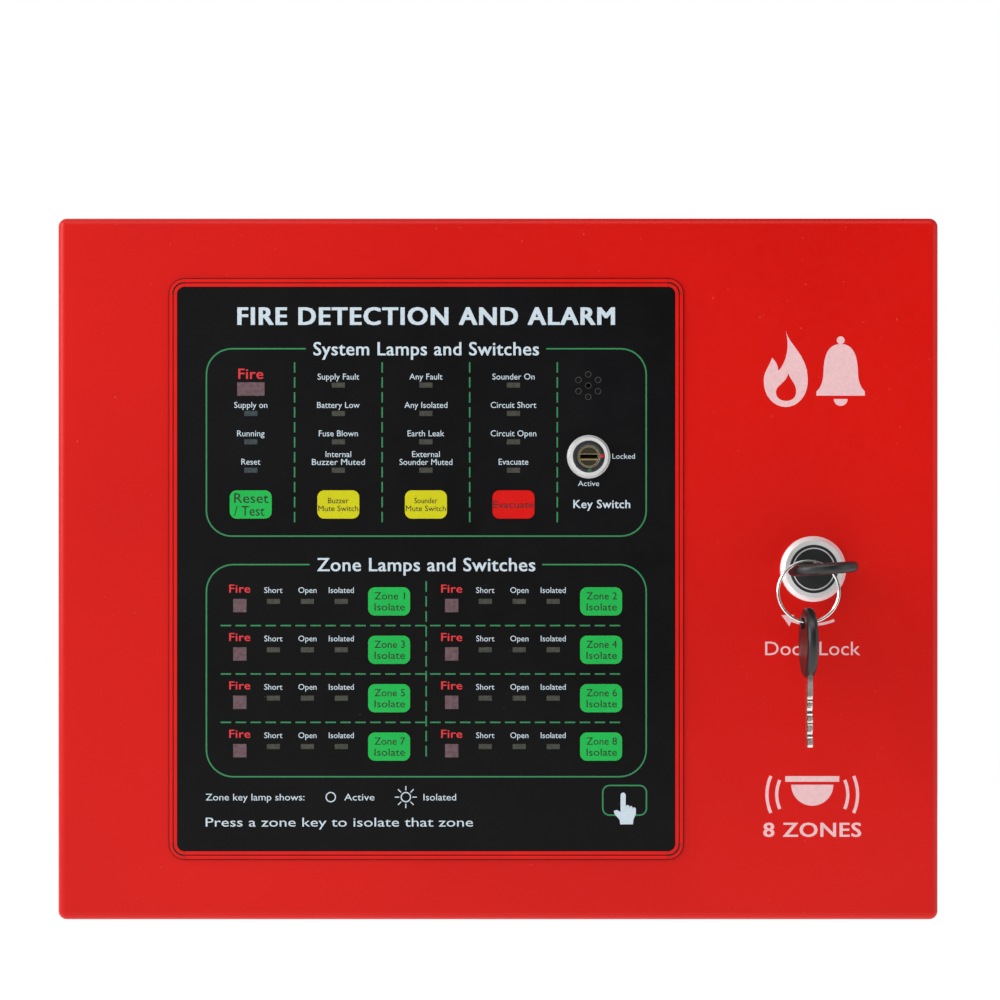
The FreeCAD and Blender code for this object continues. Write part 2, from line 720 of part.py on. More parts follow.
def make_key(prefix, base, turn):
    """Make the plastic bow and the steel blade of one key, and put them in place."""
    body = doc.addObject("PartDesign::Body", "bow_body")
    sketch = body.newObject("Sketcher::SketchObject", "sketch")
    plane = next(f for f in body.Origin.OriginFeatures if f.Role == "XY_Plane")
    sketch.AttachmentSupport = [(plane, "")]
    sketch.MapMode = "FlatFace"
    bind(sketch, "AttachmentOffset.Base.z", "-bow_thickness / 2")
    circle(sketch, "bow_radius")
    disc = pad(body, sketch, "bow_thickness")
    round_edges(body, disc, lambda first, last: abs(first.z - last.z) < 0.01, "bow_edge")

    def upright(x, depth, radius):
        return upright_rod(x, depth, "-bow_thickness", radius, "2 * bow_thickness")

    half = "(bow_slot_width / 2 - bow_slot_height / 2)"
    slot = [block(0, 0, f"{SLOT_FROM_MIDDLE} - bow_slot_height / 2", f"2 * {half}",
                  "2 * bow_thickness", "bow_slot_height")]
    slot += [upright(f"{side} * {half}", SLOT_FROM_MIDDLE, "bow_slot_height / 2") for side in SIDES]
    tip = "-(bow_radius + blade_length)"
    bar = block("-bow_offset", 0, tip, "blade_width", "blade_thickness",
                "blade_length + blade_tang")
    tang = block("-bow_offset", 0, tip, "blade_width", "blade_thickness",
                 "blade_length + blade_tang")
    bow = node(f"{prefix}_bow", cut(body, slot + [tang]))

    # Cuts on one edge of the blade, a groove on each face and a bevelled tip.
    tools = []
    for number, bite in enumerate((2.0, 1.3, 2.4, 1.6)):
        notch = upright("-bow_offset - blade_width / 2 - 0.4", f"{tip} + 5 + {number} * 4.6", bite)
        tools.append(notch)
    for face in SIDES:
        tools.append(block("0.8 - bow_offset", f"{face} * blade_thickness / 2", tip, 1.2, 0.9,
                           "blade_length - 2"))
    for side in SIDES:
        bevel = doc.addObject("Part::Box", "bevel")
        for size in ("Length", "Width", "Height"):
            bind(bevel, size, "blade_width")
        bevel.Placement.Rotation = FreeCAD.Rotation(ALONG_Z, 45)
        bind(bevel, "Placement.Base.x", f"{side} * (blade_width / 2 + 2) - bow_offset")
        bind(bevel, "Placement.Base.y", f"-({tip}) - 3")
        bind(bevel, "Placement.Base.z", "-blade_width / 2")
        tools.append(bevel)
    blade = node(f"{prefix}_blade", cut(bar, tools))
    for piece in (bow, blade):
        piece.Placement = FreeCAD.Placement(ORIGIN, turn)
        for axis, formula in zip("xyz", base):
            bind(piece, f"Placement.Base.{axis}", formula)


def make_keys_and_ring():
    make_key("door_key", ("lock_across + bow_offset * cos(key_tilt)", f"-{BOW_DEPTH}",
                          "bow_offset * sin(key_tilt)"),
             FreeCAD.Rotation(ALONG_Y, -DIMENSIONS["key_tilt"]))
    ring_depth = f"({BOW_DEPTH} + {SLOT_FROM_MIDDLE} - ring_width / 2)"
    node("key_ring", tube("ring_across", "-ring_drop", ring_depth, "ring_radius + ring_wall / 2",
                          "ring_radius - ring_wall / 2", "ring_width"))
    slot_edge = "(bow_radius - bow_slot_edge)"
    make_key("spare_key", ("ring_across", f"-({BOW_DEPTH} + {SLOT_FROM_MIDDLE})",
                           f"spare_hang - ring_drop - ring_radius - {slot_edge}"),
             FreeCAD.Rotation(ALONG_Y, -90) * FreeCAD.Rotation(ALONG_Z, 90))


# Main board and what is on it

def make_terminal_row(count, first, pitch, rise):
    """Three-way screw terminal blocks in a row."""
    blocks = []
    for number in range(count):
        middle = f"({first} + {number} * {pitch})"
        case = block(middle, rise, MAIN_BOARD_FRONT, "terminal_width", "terminal_height",
                     "terminal_thickness")
        tools = []
        for way in (-1, 0, 1):
            across = f"{middle} + {way} * terminal_way_pitch"
            front = f"{MAIN_BOARD_FRONT} + terminal_thickness"
            tools.append(rod(across, f"{rise} - 1.5", f"{front} - 2", 1.7, 3))
            tools.append(block(across, f"{rise} + terminal_height / 2", f"{MAIN_BOARD_FRONT} + 1.5",
                               3.4, 6, 4))
        blocks.append(cut(case, tools))
    return blocks


def make_main_board():
    posts = [(f"{side} * (main_board_width / 2 - 6)", f"main_board_rise + {level} * 49")
             for side in (-1, 0, 1) for level in SIDES]
    plate = block(0, "main_board_rise", MAIN_BOARD_BACK, "main_board_width", "main_board_height",
                  "board_thickness")
    holes, standoffs, screws = [], [], []
    for across, rise in posts:
        holes.append(rod(across, rise, MAIN_BOARD_BACK, "screw_radius + 0.15", "board_thickness"))
        post = hexagon(across, rise, "box_sheet", 3.5, "standoff_height")
        thread = rod(across, rise, f"{MAIN_BOARD_BACK} - 6", "screw_radius + 0.05", 6)
        standoffs.append(cut(post, [thread]))
        shank = rod(across, rise, f"{MAIN_BOARD_BACK} - 5", "screw_radius", "board_thickness + 5")
        head = rod(across, rise, MAIN_BOARD_FRONT, "screw_head_radius", "screw_head_height")
        screws.append(fuse([shank, head]))
    node("main_board", cut(plate, holes))
    node("main_board_standoffs", together(standoffs))
    node("main_board_screws", together(screws))
    blocks = make_terminal_row(7, -130, 18, "main_board_rise + 47")
    blocks += make_terminal_row(7, 14, 18, "main_board_rise + 47")
    node("zone_terminals", together(blocks))

    relays = [block(f"22 + {number} * 23", "main_board_rise + 20", MAIN_BOARD_FRONT, 19, 15.5, 15.5)
              for number in range(6)]
    node("relays", together(relays))
    capacitors = [rod(f"{across}", f"{rise}", MAIN_BOARD_FRONT, radius, tall)
                  for across, rise, radius, tall in ((-128, 32, 8, 24), (-108, 32, 8, 24),
                                                     (-90, 26, 5, 13), (-76, 26, 5, 13))]
    node("capacitors", together(capacitors))
    chips = [block(-56, "main_board_rise", MAIN_BOARD_FRONT, 18, 18, 2.2)]
    for number in range(4):
        chips.append(block(f"-130 + {number} * 28", "main_board_rise + 24", MAIN_BOARD_FRONT,
                           20, 7, 3.6))
    node("main_board_chips", together(chips))
    shell = block(-30, 24, MAIN_BOARD_FRONT, 46, 9, 9)
    inside = block(-30, 24, f"{MAIN_BOARD_FRONT} + 2", 43, 6, 8)
    node("main_board_header", cut(shell, [inside]))

    fuses = []
    for number in range(3):
        across = f"(50 + {number} * 24)"
        depth = f"({MAIN_BOARD_FRONT} + 4.5)"
        fuses.append(upright_rod(across, depth, 25, 2.6, 20))
        for rise in (27, 43):
            clip = block(across, rise, MAIN_BOARD_FRONT, 7, 3, 6.5)
            fuses.append(cut(clip, [upright_rod(across, depth, rise - 2, 2.6, 4)]))
    node("board_fuses", together(fuses))


# Supply, batteries and mains entry

def make_power_supply():
    case = block("supply_across", "supply_rise", "box_sheet", "supply_width", "supply_height",
                 "supply_thickness")
    tools = [block("supply_across", "supply_rise", "2 * box_sheet", "supply_width - 2",
                   "supply_height - 2", "supply_thickness - 2 * box_sheet")]
    for column in range(9):
        for row in range(3):
            tools.append(block(f"supply_across + ({column} - 4) * 11",
                               f"supply_rise + ({row} - 1) * 27", "supply_thickness - 2", 3, 20, 6))
    node("power_supply_case", cut(case, tools))
    base = "supply_rise + supply_height / 2"
    strip = block("supply_across - 8", f"{base} + 5", 4, 78, 10, 14)
    tools = []
    for way in range(7):
        tools.append(block(f"supply_across - 8 + ({way} - 3) * 10.6", f"{base} + 6", 12, 8.6, 12, 8))
    node("power_supply_terminals", cut(strip, tools))

    body = block(92, -20, "box_sheet", 56, 18, 14)
    tools = []
    for way in range(3):
        across = 76 + way * 12
        tools.append(rod(across, -20, 10, 2.6, 8))
        tools.append(block(across, -20, "box_sheet + 3", 5, 20, 4))
    tools.append(rod(112, -20, 12, 5, 4))
    node("mains_terminal_block", cut(body, tools))
    washer = rod(165, -60, "box_sheet", 6, 1.5)
    stud = rod(165, -60, "box_sheet + 1.5", 2.5, 12)
    nut = hexagon(165, -60, "box_sheet + 3", 4.6, 4)
    node("earth_stud", fuse([washer, stud, nut]))


def make_batteries():
    cells, tags = [], []
    step = "(battery_height + shelf_gap + shelf_sheet)"
    for level in (0, 1):
        middle = f"({FLOOR_INSIDE} + battery_height / 2 + {level} * {step})"
        case = block("battery_across", middle, "battery_back", "battery_width", "battery_height",
                     "battery_thickness")
        top = f"({middle} + battery_height / 2)"
        lid_line = cut(block("battery_across", f"{top} - 7", "battery_back - 1",
                             "battery_width + 2", 0.8, "battery_thickness + 2"),
                       [block("battery_across", f"{top} - 7", "battery_back + 0.5",
                              "battery_width - 1", 0.8, "battery_thickness - 1")])
        cells.append(cut(case, [lid_line]))
        for inset in (12, 30):
            tags.append(block(f"battery_across - battery_width / 2 + {inset}", f"{top} + 3.2",
                              "battery_back + battery_thickness / 2", 4.75, 6.4, 0.8))
    node("batteries", together(cells))
    node("battery_terminals", together(tags))
    middle = f"({FLOOR_INSIDE} + {step} - shelf_sheet / 2)"
    front = "(battery_back + battery_thickness + 0.5)"
    shelf = block("battery_across", middle, "box_sheet", "battery_width + 4", "shelf_sheet",
                  f"{front} - box_sheet")
    lip = block("battery_across", middle, front, "battery_width + 4", 24, "shelf_sheet")
    rail = block("battery_across", f"{middle} - 3.5", "box_sheet", "battery_width + 4", 7, "shelf_sheet")
    node("battery_bracket", fuse([shelf, lip, rail]))


def check_document():
    """Stop if any object failed or any sub-part is empty or not valid."""
    for item in doc.Objects:
        if "Invalid" in item.State or "Error" in item.State:
            raise RuntimeError(f"{item.Name} ({item.Label}) failed: {item.State}")
    for label, feature in nodes.items():
        if feature.Shape.isNull() or not feature.Shape.isValid():
            raise RuntimeError(f"{label} has no valid shape")
        if not feature.Shape.Solids:
            raise RuntimeError(f"{label} has no solid")


def export_nodes():
    os.makedirs("parts", exist_ok=True)
    for label, feature in nodes.items():
        feature.Shape.exportStep(f"parts/{label}.step")
        print(f"{label}: {len(feature.Shape.Solids)} solids, {feature.Shape.Volume:.0f} mm3")


fill_sheet()
make_back_box()
make_door_gasket()
make_hinge()
make_door_panel()
make_front_overlay()
make_keys()
make_lamps()
make_display_board()
make_buzzer()
make_keyswitch()
make_lock()
make_keys_and_ring()
make_main_board()
make_power_supply()
make_batteries()
doc.recompute()
check_document()
export_nodes()
print(f"{len(nodes)} sub-parts")
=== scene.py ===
import math
import random

import bmesh
import bpy
from mathutils import Matrix, Vector


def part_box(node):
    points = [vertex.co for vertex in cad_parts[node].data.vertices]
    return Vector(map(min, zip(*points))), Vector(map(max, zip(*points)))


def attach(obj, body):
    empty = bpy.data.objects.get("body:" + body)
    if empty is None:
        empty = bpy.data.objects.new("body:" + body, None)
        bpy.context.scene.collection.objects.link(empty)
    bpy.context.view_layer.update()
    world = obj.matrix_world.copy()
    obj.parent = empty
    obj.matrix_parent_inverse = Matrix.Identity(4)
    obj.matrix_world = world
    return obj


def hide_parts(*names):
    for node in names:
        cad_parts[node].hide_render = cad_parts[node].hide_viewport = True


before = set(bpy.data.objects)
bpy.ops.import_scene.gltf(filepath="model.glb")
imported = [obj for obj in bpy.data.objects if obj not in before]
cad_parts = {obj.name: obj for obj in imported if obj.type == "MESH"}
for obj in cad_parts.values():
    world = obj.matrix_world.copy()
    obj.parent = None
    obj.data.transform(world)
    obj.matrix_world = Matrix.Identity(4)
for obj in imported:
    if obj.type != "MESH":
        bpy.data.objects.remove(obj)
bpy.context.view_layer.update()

MM = 0.001
SEED = 7


def span(node):
    """The lowest and highest corners of a CAD node, in millimetres."""
    low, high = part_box(node)
    return Vector(low) / MM, Vector(high) / MM


def middle(node):
    low, high = span(node)
    return (low + high) / 2


# Places that the frame gives, in millimetres. Depths are y, so they are negative in front of the wall.
DOOR_FACE = span("door_panel")[0].y
OVERLAY_LOW, OVERLAY_HIGH = span("front_overlay")
OVERLAY_FACE = OVERLAY_LOW.y
OVERLAY_MIDDLE = (OVERLAY_LOW + OVERLAY_HIGH) / 2
KEY_FACE = span("key_zone_1")[0].y
LOCK = middle("lock_body")
SWITCH = middle("keyswitch_body")
SWITCH_FACE = span("keyswitch_body")[0].y
RING = middle("key_ring")
GRILLE = middle("buzzer")
# The radius of the ring of sounder holes.
GRILLE_RING = 4.6
# How far print stands out of the surface it is on.
PRINT = 0.035


# Materials

def fill_ramp(node, stops):
    """Set the (position, colour) stops of a colour ramp."""
    elements = node.color_ramp.elements
    while len(elements) < len(stops):
        elements.new(0.5)
    for element, (position, colour) in zip(elements, stops):
        element.position = position
        element.color = (*colour, 1.0)


class Shader:
    """A small builder for the node tree of one material."""

    def __init__(self, name):
        self.material = bpy.data.materials.new(name)
        self.material.use_nodes = True
        self.tree = self.material.node_tree
        self.bsdf = self.tree.nodes["Principled BSDF"]
        self.place = self.add("ShaderNodeTexCoord").outputs["Object"]

    def add(self, kind, **settings):
        made = self.tree.nodes.new(kind)
        for name, value in settings.items():
            setattr(made, name, value)
        return made

    def link(self, start, end):
        self.tree.links.new(start, end)

    def stretched(self, scale):
        mapping = self.add("ShaderNodeMapping")
        mapping.inputs["Scale"].default_value = scale
        self.link(self.place, mapping.inputs["Vector"])
        return mapping.outputs["Vector"]

    def noise(self, scale, detail=3.0, vector=None, roughness=0.5):
        made = self.add("ShaderNodeTexNoise")
        made.inputs["Scale"].default_value = scale
        made.inputs["Detail"].default_value = detail
        made.inputs["Roughness"].default_value = roughness
        self.link(vector or self.place, made.inputs["Vector"])
        return made.outputs["Fac"]

    def ramp(self, fac, stops):
        made = self.add("ShaderNodeValToRGB")
        fill_ramp(made, stops)
        self.link(fac, made.inputs["Fac"])
        return made.outputs["Color"]

    def remap(self, fac, low, high, start=0.3, end=0.7):
        made = self.add("ShaderNodeMapRange")
        made.inputs["From Min"].default_value = start
        made.inputs["From Max"].default_value = end
        made.inputs["To Min"].default_value = low
        made.inputs["To Max"].default_value = high
        self.link(fac, made.inputs["Value"])
        return made.outputs["Result"]

    def mix(self, fac, first, second):
        made = self.add("ShaderNodeMix", data_type="RGBA")
        for value, socket in ((fac, made.inputs[0]), (first, made.inputs[6]), (second, made.inputs[7])):
            if isinstance(value, (int, float)):
                socket.default_value = value
            elif isinstance(value, tuple):
                socket.default_value = (*value, 1.0)
            else:
                self.link(value, socket)
        return made.outputs[2]

    def bump(self, height, strength, distance):
        made = self.add("ShaderNodeBump")
        made.inputs["Strength"].default_value = strength
        made.inputs["Distance"].default_value = distance
        if self.bsdf.inputs["Normal"].is_linked:
            self.link(self.bsdf.inputs["Normal"].links[0].from_socket, made.inputs["Normal"])
        self.link(height, made.inputs["Height"])
        self.link(made.outputs["Normal"], self.bsdf.inputs["Normal"])

    def constant(self, **values):
        for name, value in values.items():
            self.bsdf.inputs[name.replace("_", " ")].default_value = value

    def colour(self, socket):
        self.link(socket, self.bsdf.inputs["Base Color"])

    def rough(self, socket):
        self.link(socket, self.bsdf.inputs["Roughness"])


def shade(colour, factor):
    return tuple(min(1.0, part * factor) for part in colour)


def plastic(name, colour, rough=(0.35, 0.5), grain=900.0, bump=0.15, spread=0.12, gloss=0.5):
    """Moulded plastic: a faint mottle, a fine grain and patches that are a little more worn."""
    s = Shader(name)
    mottle = s.noise(60.0, 4.0)
    s.colour(s.ramp(mottle, [(0.3, shade(colour, 1 - spread)), (0.7, shade(colour, 1 + spread))]))
    s.rough(s.remap(s.noise(140.0, 5.0), *rough))
    s.bump(s.noise(grain, 2.0), bump, 0.0002)
    s.constant(Specular_IOR_Level=gloss)
    return s.material


def metal(name, colour, rough, stretch, bump, turned=0.0, metallic=1.0):
    """Plated or brushed metal: fine lines one way, soft cloudy wear and hairline scratches."""
    s = Shader(name)
    if turned:
        round_axis = s.add("ShaderNodeTangent", direction_type="RADIAL", axis="Y")
        s.link(round_axis.outputs["Tangent"], s.bsdf.inputs["Tangent"])
        s.constant(Anisotropic=turned)
    lines = s.noise(1.0, 3.0, s.stretched(stretch))
    cloud = s.noise(90.0, 4.0)
    tint = s.ramp(cloud, [(0.3, shade(colour, 0.86)), (0.7, colour)])
    s.colour(s.mix(s.remap(lines, 0.0, 0.35), tint, shade(colour, 0.7)))
    s.rough(s.remap(lines, *rough))
    s.bump(lines, bump, 0.0001)
    s.constant(Metallic=metallic)
    return s.material


def powder_coat():
    """Red powder coat: orange-peel skin, fine flecks and a few dust specks."""
    s = Shader("red_powder_coat")
    base = s.ramp(s.noise(9.0, 3.0), [(0.3, (0.55, 0.0032, 0.0010)), (0.7, (0.62, 0.0048, 0.0014))])
    fleck = s.remap(s.noise(2600.0, 2.0), 0.0, 0.25, 0.45, 0.75)
    base = s.mix(fleck, base, (0.58, 0.0035, 0.001))
    dust = s.remap(s.noise(900.0, 1.0, roughness=0.2), 0.0, 0.3, 0.80, 0.86)
    s.colour(s.mix(dust, base, (0.85, 0.16, 0.12)))
    s.rough(s.remap(s.noise(300.0, 4.0), 0.30, 0.36))
    s.bump(s.noise(650.0, 1.0), 0.05, 0.00012)
    s.bump(s.noise(2600.0, 1.0), 0.04, 0.00005)
    s.constant(Specular_IOR_Level=0.22)
    return s.material


def membrane():
    """Satin black printed membrane with a very fine texture and light dust."""
    s = Shader("membrane_black")
    base = s.ramp(s.noise(14.0, 4.0), [(0.3, (0.0022, 0.0023, 0.0027)), (0.7, (0.0042, 0.0043, 0.0050))])
    dust = s.remap(s.noise(700.0, 2.0, roughness=0.35), 0.0, 0.4, 0.76, 0.84)
    s.colour(s.mix(dust, base, (0.10, 0.10, 0.10)))
    s.rough(s.remap(s.noise(80.0, 4.0), 0.30, 0.40))
    s.bump(s.noise(3200.0, 2.0), 0.08, 0.0001)
    s.constant(Specular_IOR_Level=0.12)
    return s.material


def circuit_board():
    """Green solder mask: rows of tracks under the mask, darker where there is bare laminate."""
    s = Shader("circuit_board")
    across = s.add("ShaderNodeTexBrick")
    across.offset = 0.5
    for name, value in (("Scale", 150.0), ("Mortar Size", 0.012), ("Mortar Smooth", 0.1),
                        ("Brick Width", 1.6), ("Row Height", 0.22), ("Bias", 0.0)):
        across.inputs[name].default_value = value
    turn = s.add("ShaderNodeMapping")
    turn.inputs["Rotation"].default_value = (math.pi / 2, 0.0, 0.0)
    s.link(s.place, turn.inputs["Vector"])
    s.link(turn.outputs["Vector"], across.inputs["Vector"])
    tracks = across.outputs["Fac"]
    where = s.remap(s.noise(45.0, 2.0), 0.0, 1.0, 0.46, 0.54)
    ground = s.ramp(s.noise(30.0, 3.0), [(0.35, (0.004, 0.060, 0.022)), (0.65, (0.006, 0.085, 0.030))])
    gate = s.add("ShaderNodeMath", operation="MULTIPLY")
    s.link(tracks, gate.inputs[0])
    s.link(where, gate.inputs[1])
    s.colour(s.mix(gate.outputs[0], ground, (0.015, 0.17, 0.06)))
    s.rough(s.remap(s.noise(200.0, 3.0), 0.25, 0.38))
    s.bump(gate.outputs[0], 0.3, 0.00005)
    s.constant(Coat_Weight=0.3, Coat_Roughness=0.15)
    return s.material


def foam():
    s = Shader("foam_strip")
    s.colour(s.ramp(s.noise(500.0, 3.0), [(0.3, (0.012, 0.012, 0.013)), (0.7, (0.045, 0.045, 0.048))]))
    pores = s.add("ShaderNodeTexVoronoi")
    pores.inputs["Scale"].default_value = 1400.0
    s.link(s.place, pores.inputs["Vector"])
    s.bump(pores.outputs["Distance"], 0.6, 0.0003)
    s.rough(s.remap(s.noise(300.0), 0.8, 0.95))
    return s.material


def window(name, colour):
    """A tinted window in the membrane, cloudy in soft random patches, over a lamp."""
    s = Shader(name)
    cloud = s.noise(700.0, 3.0)
    s.colour(s.ramp(cloud, [(0.3, shade(colour, 0.75)), (0.7, shade(colour, 1.25))]))
    s.rough(s.remap(s.noise(500.0), 0.25, 0.4))
    s.bump(s.noise(2000.0, 1.0), 0.1, 0.0001)
    s.constant(Specular_IOR_Level=0.25)
    return s.material


def ink(name, colour):
    """Screen-printed ink, slightly uneven in cover."""
    s = Shader(name)
    s.colour(s.ramp(s.noise(900.0, 4.0), [(0.25, shade(colour, 0.86)), (0.7, colour)]))
    s.rough(s.remap(s.noise(600.0), 0.35, 0.5))
    s.bump(s.noise(3500.0, 1.0), 0.05, 0.00005)
    return s.material


def key_cap(name, colour, spread=0.06):
    return plastic(name, colour, (0.32, 0.42), 2400.0, 0.08, spread, gloss=0.2)


def lamp(name, colour):
    return plastic(name, colour, (0.12, 0.22), 400.0, 0.05)


RED = powder_coat()
MEMBRANE = membrane()
MEMBRANE_RED = plastic("membrane_red", (0.66, 0.006, 0.003), (0.3, 0.4), 3000.0, 0.06, 0.05, gloss=0.2)
INK_WHITE = ink("ink_white", (0.56, 0.66, 0.73))
INK_DOOR = ink("ink_door", (0.80, 0.50, 0.52))
INK_GREEN = ink("ink_green", (0.018, 0.215, 0.072))
INK_RED = ink("ink_red", (0.68, 0.022, 0.030))
INK_BLACK = ink("ink_black", (0.012, 0.006, 0.006))
KEY_GREEN = key_cap("key_green", (0.010, 0.41, 0.068))
DOT_GREEN = plastic("dot_green", (0.008, 0.11, 0.03), (0.3, 0.4), 2400.0, 0.08, 0.06)
KEY_YELLOW = key_cap("key_yellow", (0.55, 0.53, 0.006), 0.05)
KEY_RED = key_cap("key_red", (0.60, 0.004, 0.002))
WINDOW_RED = window("window_red", (0.125, 0.075, 0.085))
WINDOW_YELLOW = window("window_yellow", (0.052, 0.054, 0.042))
WINDOW_GREEN = window("window_green", (0.038, 0.052, 0.058))
SATIN = metal("satin_chrome", (0.93, 0.93, 0.93), (0.3, 0.42), (200.0, 200.0, 200.0), 0.04,
              turned=0.75, metallic=0.6)
NICKEL = metal("nickel_plate", (0.80, 0.77, 0.72), (0.16, 0.28), (80.0, 80.0, 500.0), 0.05)
RING_WIRE = metal("spring_wire", (0.86, 0.85, 0.82), (0.14, 0.2), (60.0, 60.0, 60.0), 0.0)
ZINC = metal("zinc_plate", (0.66, 0.68, 0.70), (0.28, 0.42), (20.0, 20.0, 200.0), 0.06)
DARK_BRASS = metal("aged_brass", (0.075, 0.068, 0.050), (0.35, 0.5), (300.0, 300.0, 300.0), 0.06)
BRASS = metal("turned_brass", (0.78, 0.58, 0.26), (0.2, 0.32), (80.0, 900.0, 80.0), 0.05)
SOLDER = metal("solder", (0.70, 0.71, 0.73), (0.18, 0.32), (500.0, 500.0, 500.0), 0.15)
BLACK = plastic("black_plastic", (0.012, 0.012, 0.013), (0.35, 0.55), 1200.0, 0.2)
GRILLE_GREY = plastic("grille_grey", (0.05, 0.05, 0.052), (0.25, 0.35), 2400.0, 0.08)
KEY_HEAD = plastic("key_head", (0.010, 0.010, 0.011), (0.26, 0.42), 1500.0, 0.22, 0.2)
PLUG_BLACK = plastic("plug_black", (0.014, 0.015, 0.016), (0.25, 0.45), spread=0.3)
BOARD = circuit_board()
FOAM = foam()
TERMINAL = plastic("terminal_green", (0.020, 0.26, 0.075))
TERMINAL_GREY = plastic("terminal_grey", (0.42, 0.42, 0.40))
RELAY = plastic("relay_shell", (0.012, 0.055, 0.26), (0.22, 0.35), bump=0.08)
SLEEVE = plastic("capacitor_sleeve", (0.012, 0.016, 0.050), (0.2, 0.32), bump=0.06)
STRIPE = plastic("capacitor_stripe", (0.40, 0.42, 0.45), (0.25, 0.4), bump=0.06)
BATTERY = plastic("battery_case", (0.028, 0.030, 0.034), (0.4, 0.6), 700.0, 0.3)
LAMP_RED = lamp("lamp_red", (0.30, 0.03, 0.03))
LAMP_YELLOW = lamp("lamp_yellow", (0.36, 0.26, 0.05))
LAMP_GREEN = lamp("lamp_green", (0.06, 0.26, 0.10))
LABEL = plastic("blank_label", (0.55, 0.56, 0.57), (0.3, 0.42), bump=0.05)
CERAMIC = plastic("chip_resistor", (0.30, 0.24, 0.16), bump=0.1, spread=0.3)


# Mesh helpers, in millimetres

def new_object(name, data):
    made = bpy.data.objects.new(name, data)
    bpy.context.scene.collection.objects.link(made)
    return made


def finish_mesh(name, bm, body, material, smooth=False):
    """Turn a mesh in millimetres into a piece that rides on a body."""
    bmesh.ops.scale(bm, vec=(MM, MM, MM), verts=bm.verts)
    bmesh.ops.recalc_face_normals(bm, faces=bm.faces)
    mesh = bpy.data.meshes.new(name)
    bm.to_mesh(mesh)
    bm.free()
    piece = new_object(name, mesh)
    mesh.materials.append(material)
    if smooth:
        mesh.shade_smooth()
        mesh.set_sharp_from_angle(angle=math.radians(40))
    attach(piece, body)
    return piece


def centre_of(low, high):
    return (low.x + high.x) / 2, (low.z + high.z) / 2


def bridge(bm, first, second):
    """Join two closed loops of the same number of corners with a band of faces."""
    for i in range(len(first)):
        j = (i + 1) % len(first)
        bm.faces.new((first[i], first[j], second[j], second[i]))


def slab(bm, outline, front, back):
    """A flat piece parallel to the wall, from a closed outline of (x, z) points."""
    near = [bm.verts.new((x, front, z)) for x, z in outline]
    far = [bm.verts.new((x, back, z)) for x, z in outline]
    bm.faces.new(near)
    bm.faces.new(list(reversed(far)))
    bridge(bm, near, far)


def strip(bm, path, width, front, back, closed=False):
    """A ribbon of even width along a path of (x, z) points."""
    points = [Vector(p) for p in path]
    count = len(points)
    rings = []
    for i, point in enumerate(points):
        before = points[i - 1] if closed or i else None
        after = points[(i + 1) % count] if closed or i < count - 1 else None
        runs = []
        if before is not None:
            runs.append((point - before).normalized())
        if after is not None:
            runs.append((after - point).normalized())
        along = sum(runs, Vector((0, 0))).normalized()
        side = Vector((-along.y, along.x)) * width / 2
        side /= max(0.5, along.dot(runs[0]))
        left, right = point + side, point - side
        rings.append([bm.verts.new((p.x, y, p.y))
                      for p, y in ((left, front), (right, front), (right, back), (left, back))])
    for i in range(count if closed else count - 1):
        bridge(bm, rings[i], rings[(i + 1) % count])
    if not closed:
        bm.faces.new(rings[0])
        bm.faces.new(list(reversed(rings[-1])))


def print_slab(bm, outline, face):
    """A printed patch on a surface at the depth face."""
    slab(bm, outline, face - PRINT, face + PRINT / 2)


def print_strip(bm, path, width, face, closed=False):
    """A printed line on a surface at the depth face."""
    strip(bm, path, width, face - PRINT, face + PRINT / 2, closed)


def arc(cx, cz, radius, start, end, steps=10):
    """Points round a centre, with the angles in degrees."""
    angles = [math.radians(start + (end - start) * i / steps) for i in range(steps + 1)]
    return [(cx + radius * math.cos(a), cz + radius * math.sin(a)) for a in angles]


def dot(cx, cz, radius):
    """The outline of a full circle."""
    return arc(cx, cz, radius, 0, 345, 23)


def on_circle(cx, cz, radius, angle):
    return arc(cx, cz, radius, angle, angle, 1)[0]


def round_box(x0, z0, x1, z1, radius, steps=8):
    """A closed outline with rounded corners, from the top right corner anticlockwise."""
    path = []
    for cx, cz, start in ((x1 - radius, z1 - radius, 0), (x0 + radius, z1 - radius, 90),
                          (x0 + radius, z0 + radius, 180), (x1 - radius, z0 + radius, 270)):
        path += arc(cx, cz, radius, start, start + 90, steps)
    return path


def lathe(bm, profile, centre, steps=64, axis="Y"):
    """A solid of revolution from (radius, distance along the axis) points, ends on the axis or closed."""
    rings = []
    for radius, along in profile:
        count = steps if radius else 1
        places = [spin_point(radius, along, math.tau * i / steps, axis) for i in range(count)]
        rings.append([bm.verts.new(centre + place) for place in places] * (steps // count))
    count = len(rings)
    loops = count if profile[0][0] and profile[-1][0] else count - 1
    for k in range(loops):
        a, b = rings[k], rings[(k + 1) % count]
        for i in range(steps):
            j = (i + 1) % steps
            corners = list(dict.fromkeys((a[i], a[j], b[j], b[i])))
            if len(corners) > 2:
                bm.faces.new(corners)


def spin_point(radius, along, angle, axis):
    if axis == "Y":
        return Vector((radius * math.cos(angle), along, radius * math.sin(angle)))
    return Vector((radius * math.cos(angle), radius * math.sin(angle), along))


def chamfered_box(bm, low, high, edge):
    """A box with chamfered edges between any two opposite corners."""
    low, high = [Vector(pick(pair) for pair in zip(low, high)) for pick in (min, max)]
    made = bmesh.ops.create_cube(bm, size=1.0)
    centre = (low + high) / 2
    size = high - low
    for vert in made["verts"]:
        vert.co = Vector(v * s for v, s in zip(vert.co, size)) + centre
    edges = {e for v in made["verts"] for e in v.link_edges}
    bmesh.ops.bevel(bm, geom=list(edges), offset=edge, segments=2, affect="EDGES", profile=0.5)


# Lettering in Blender's own font

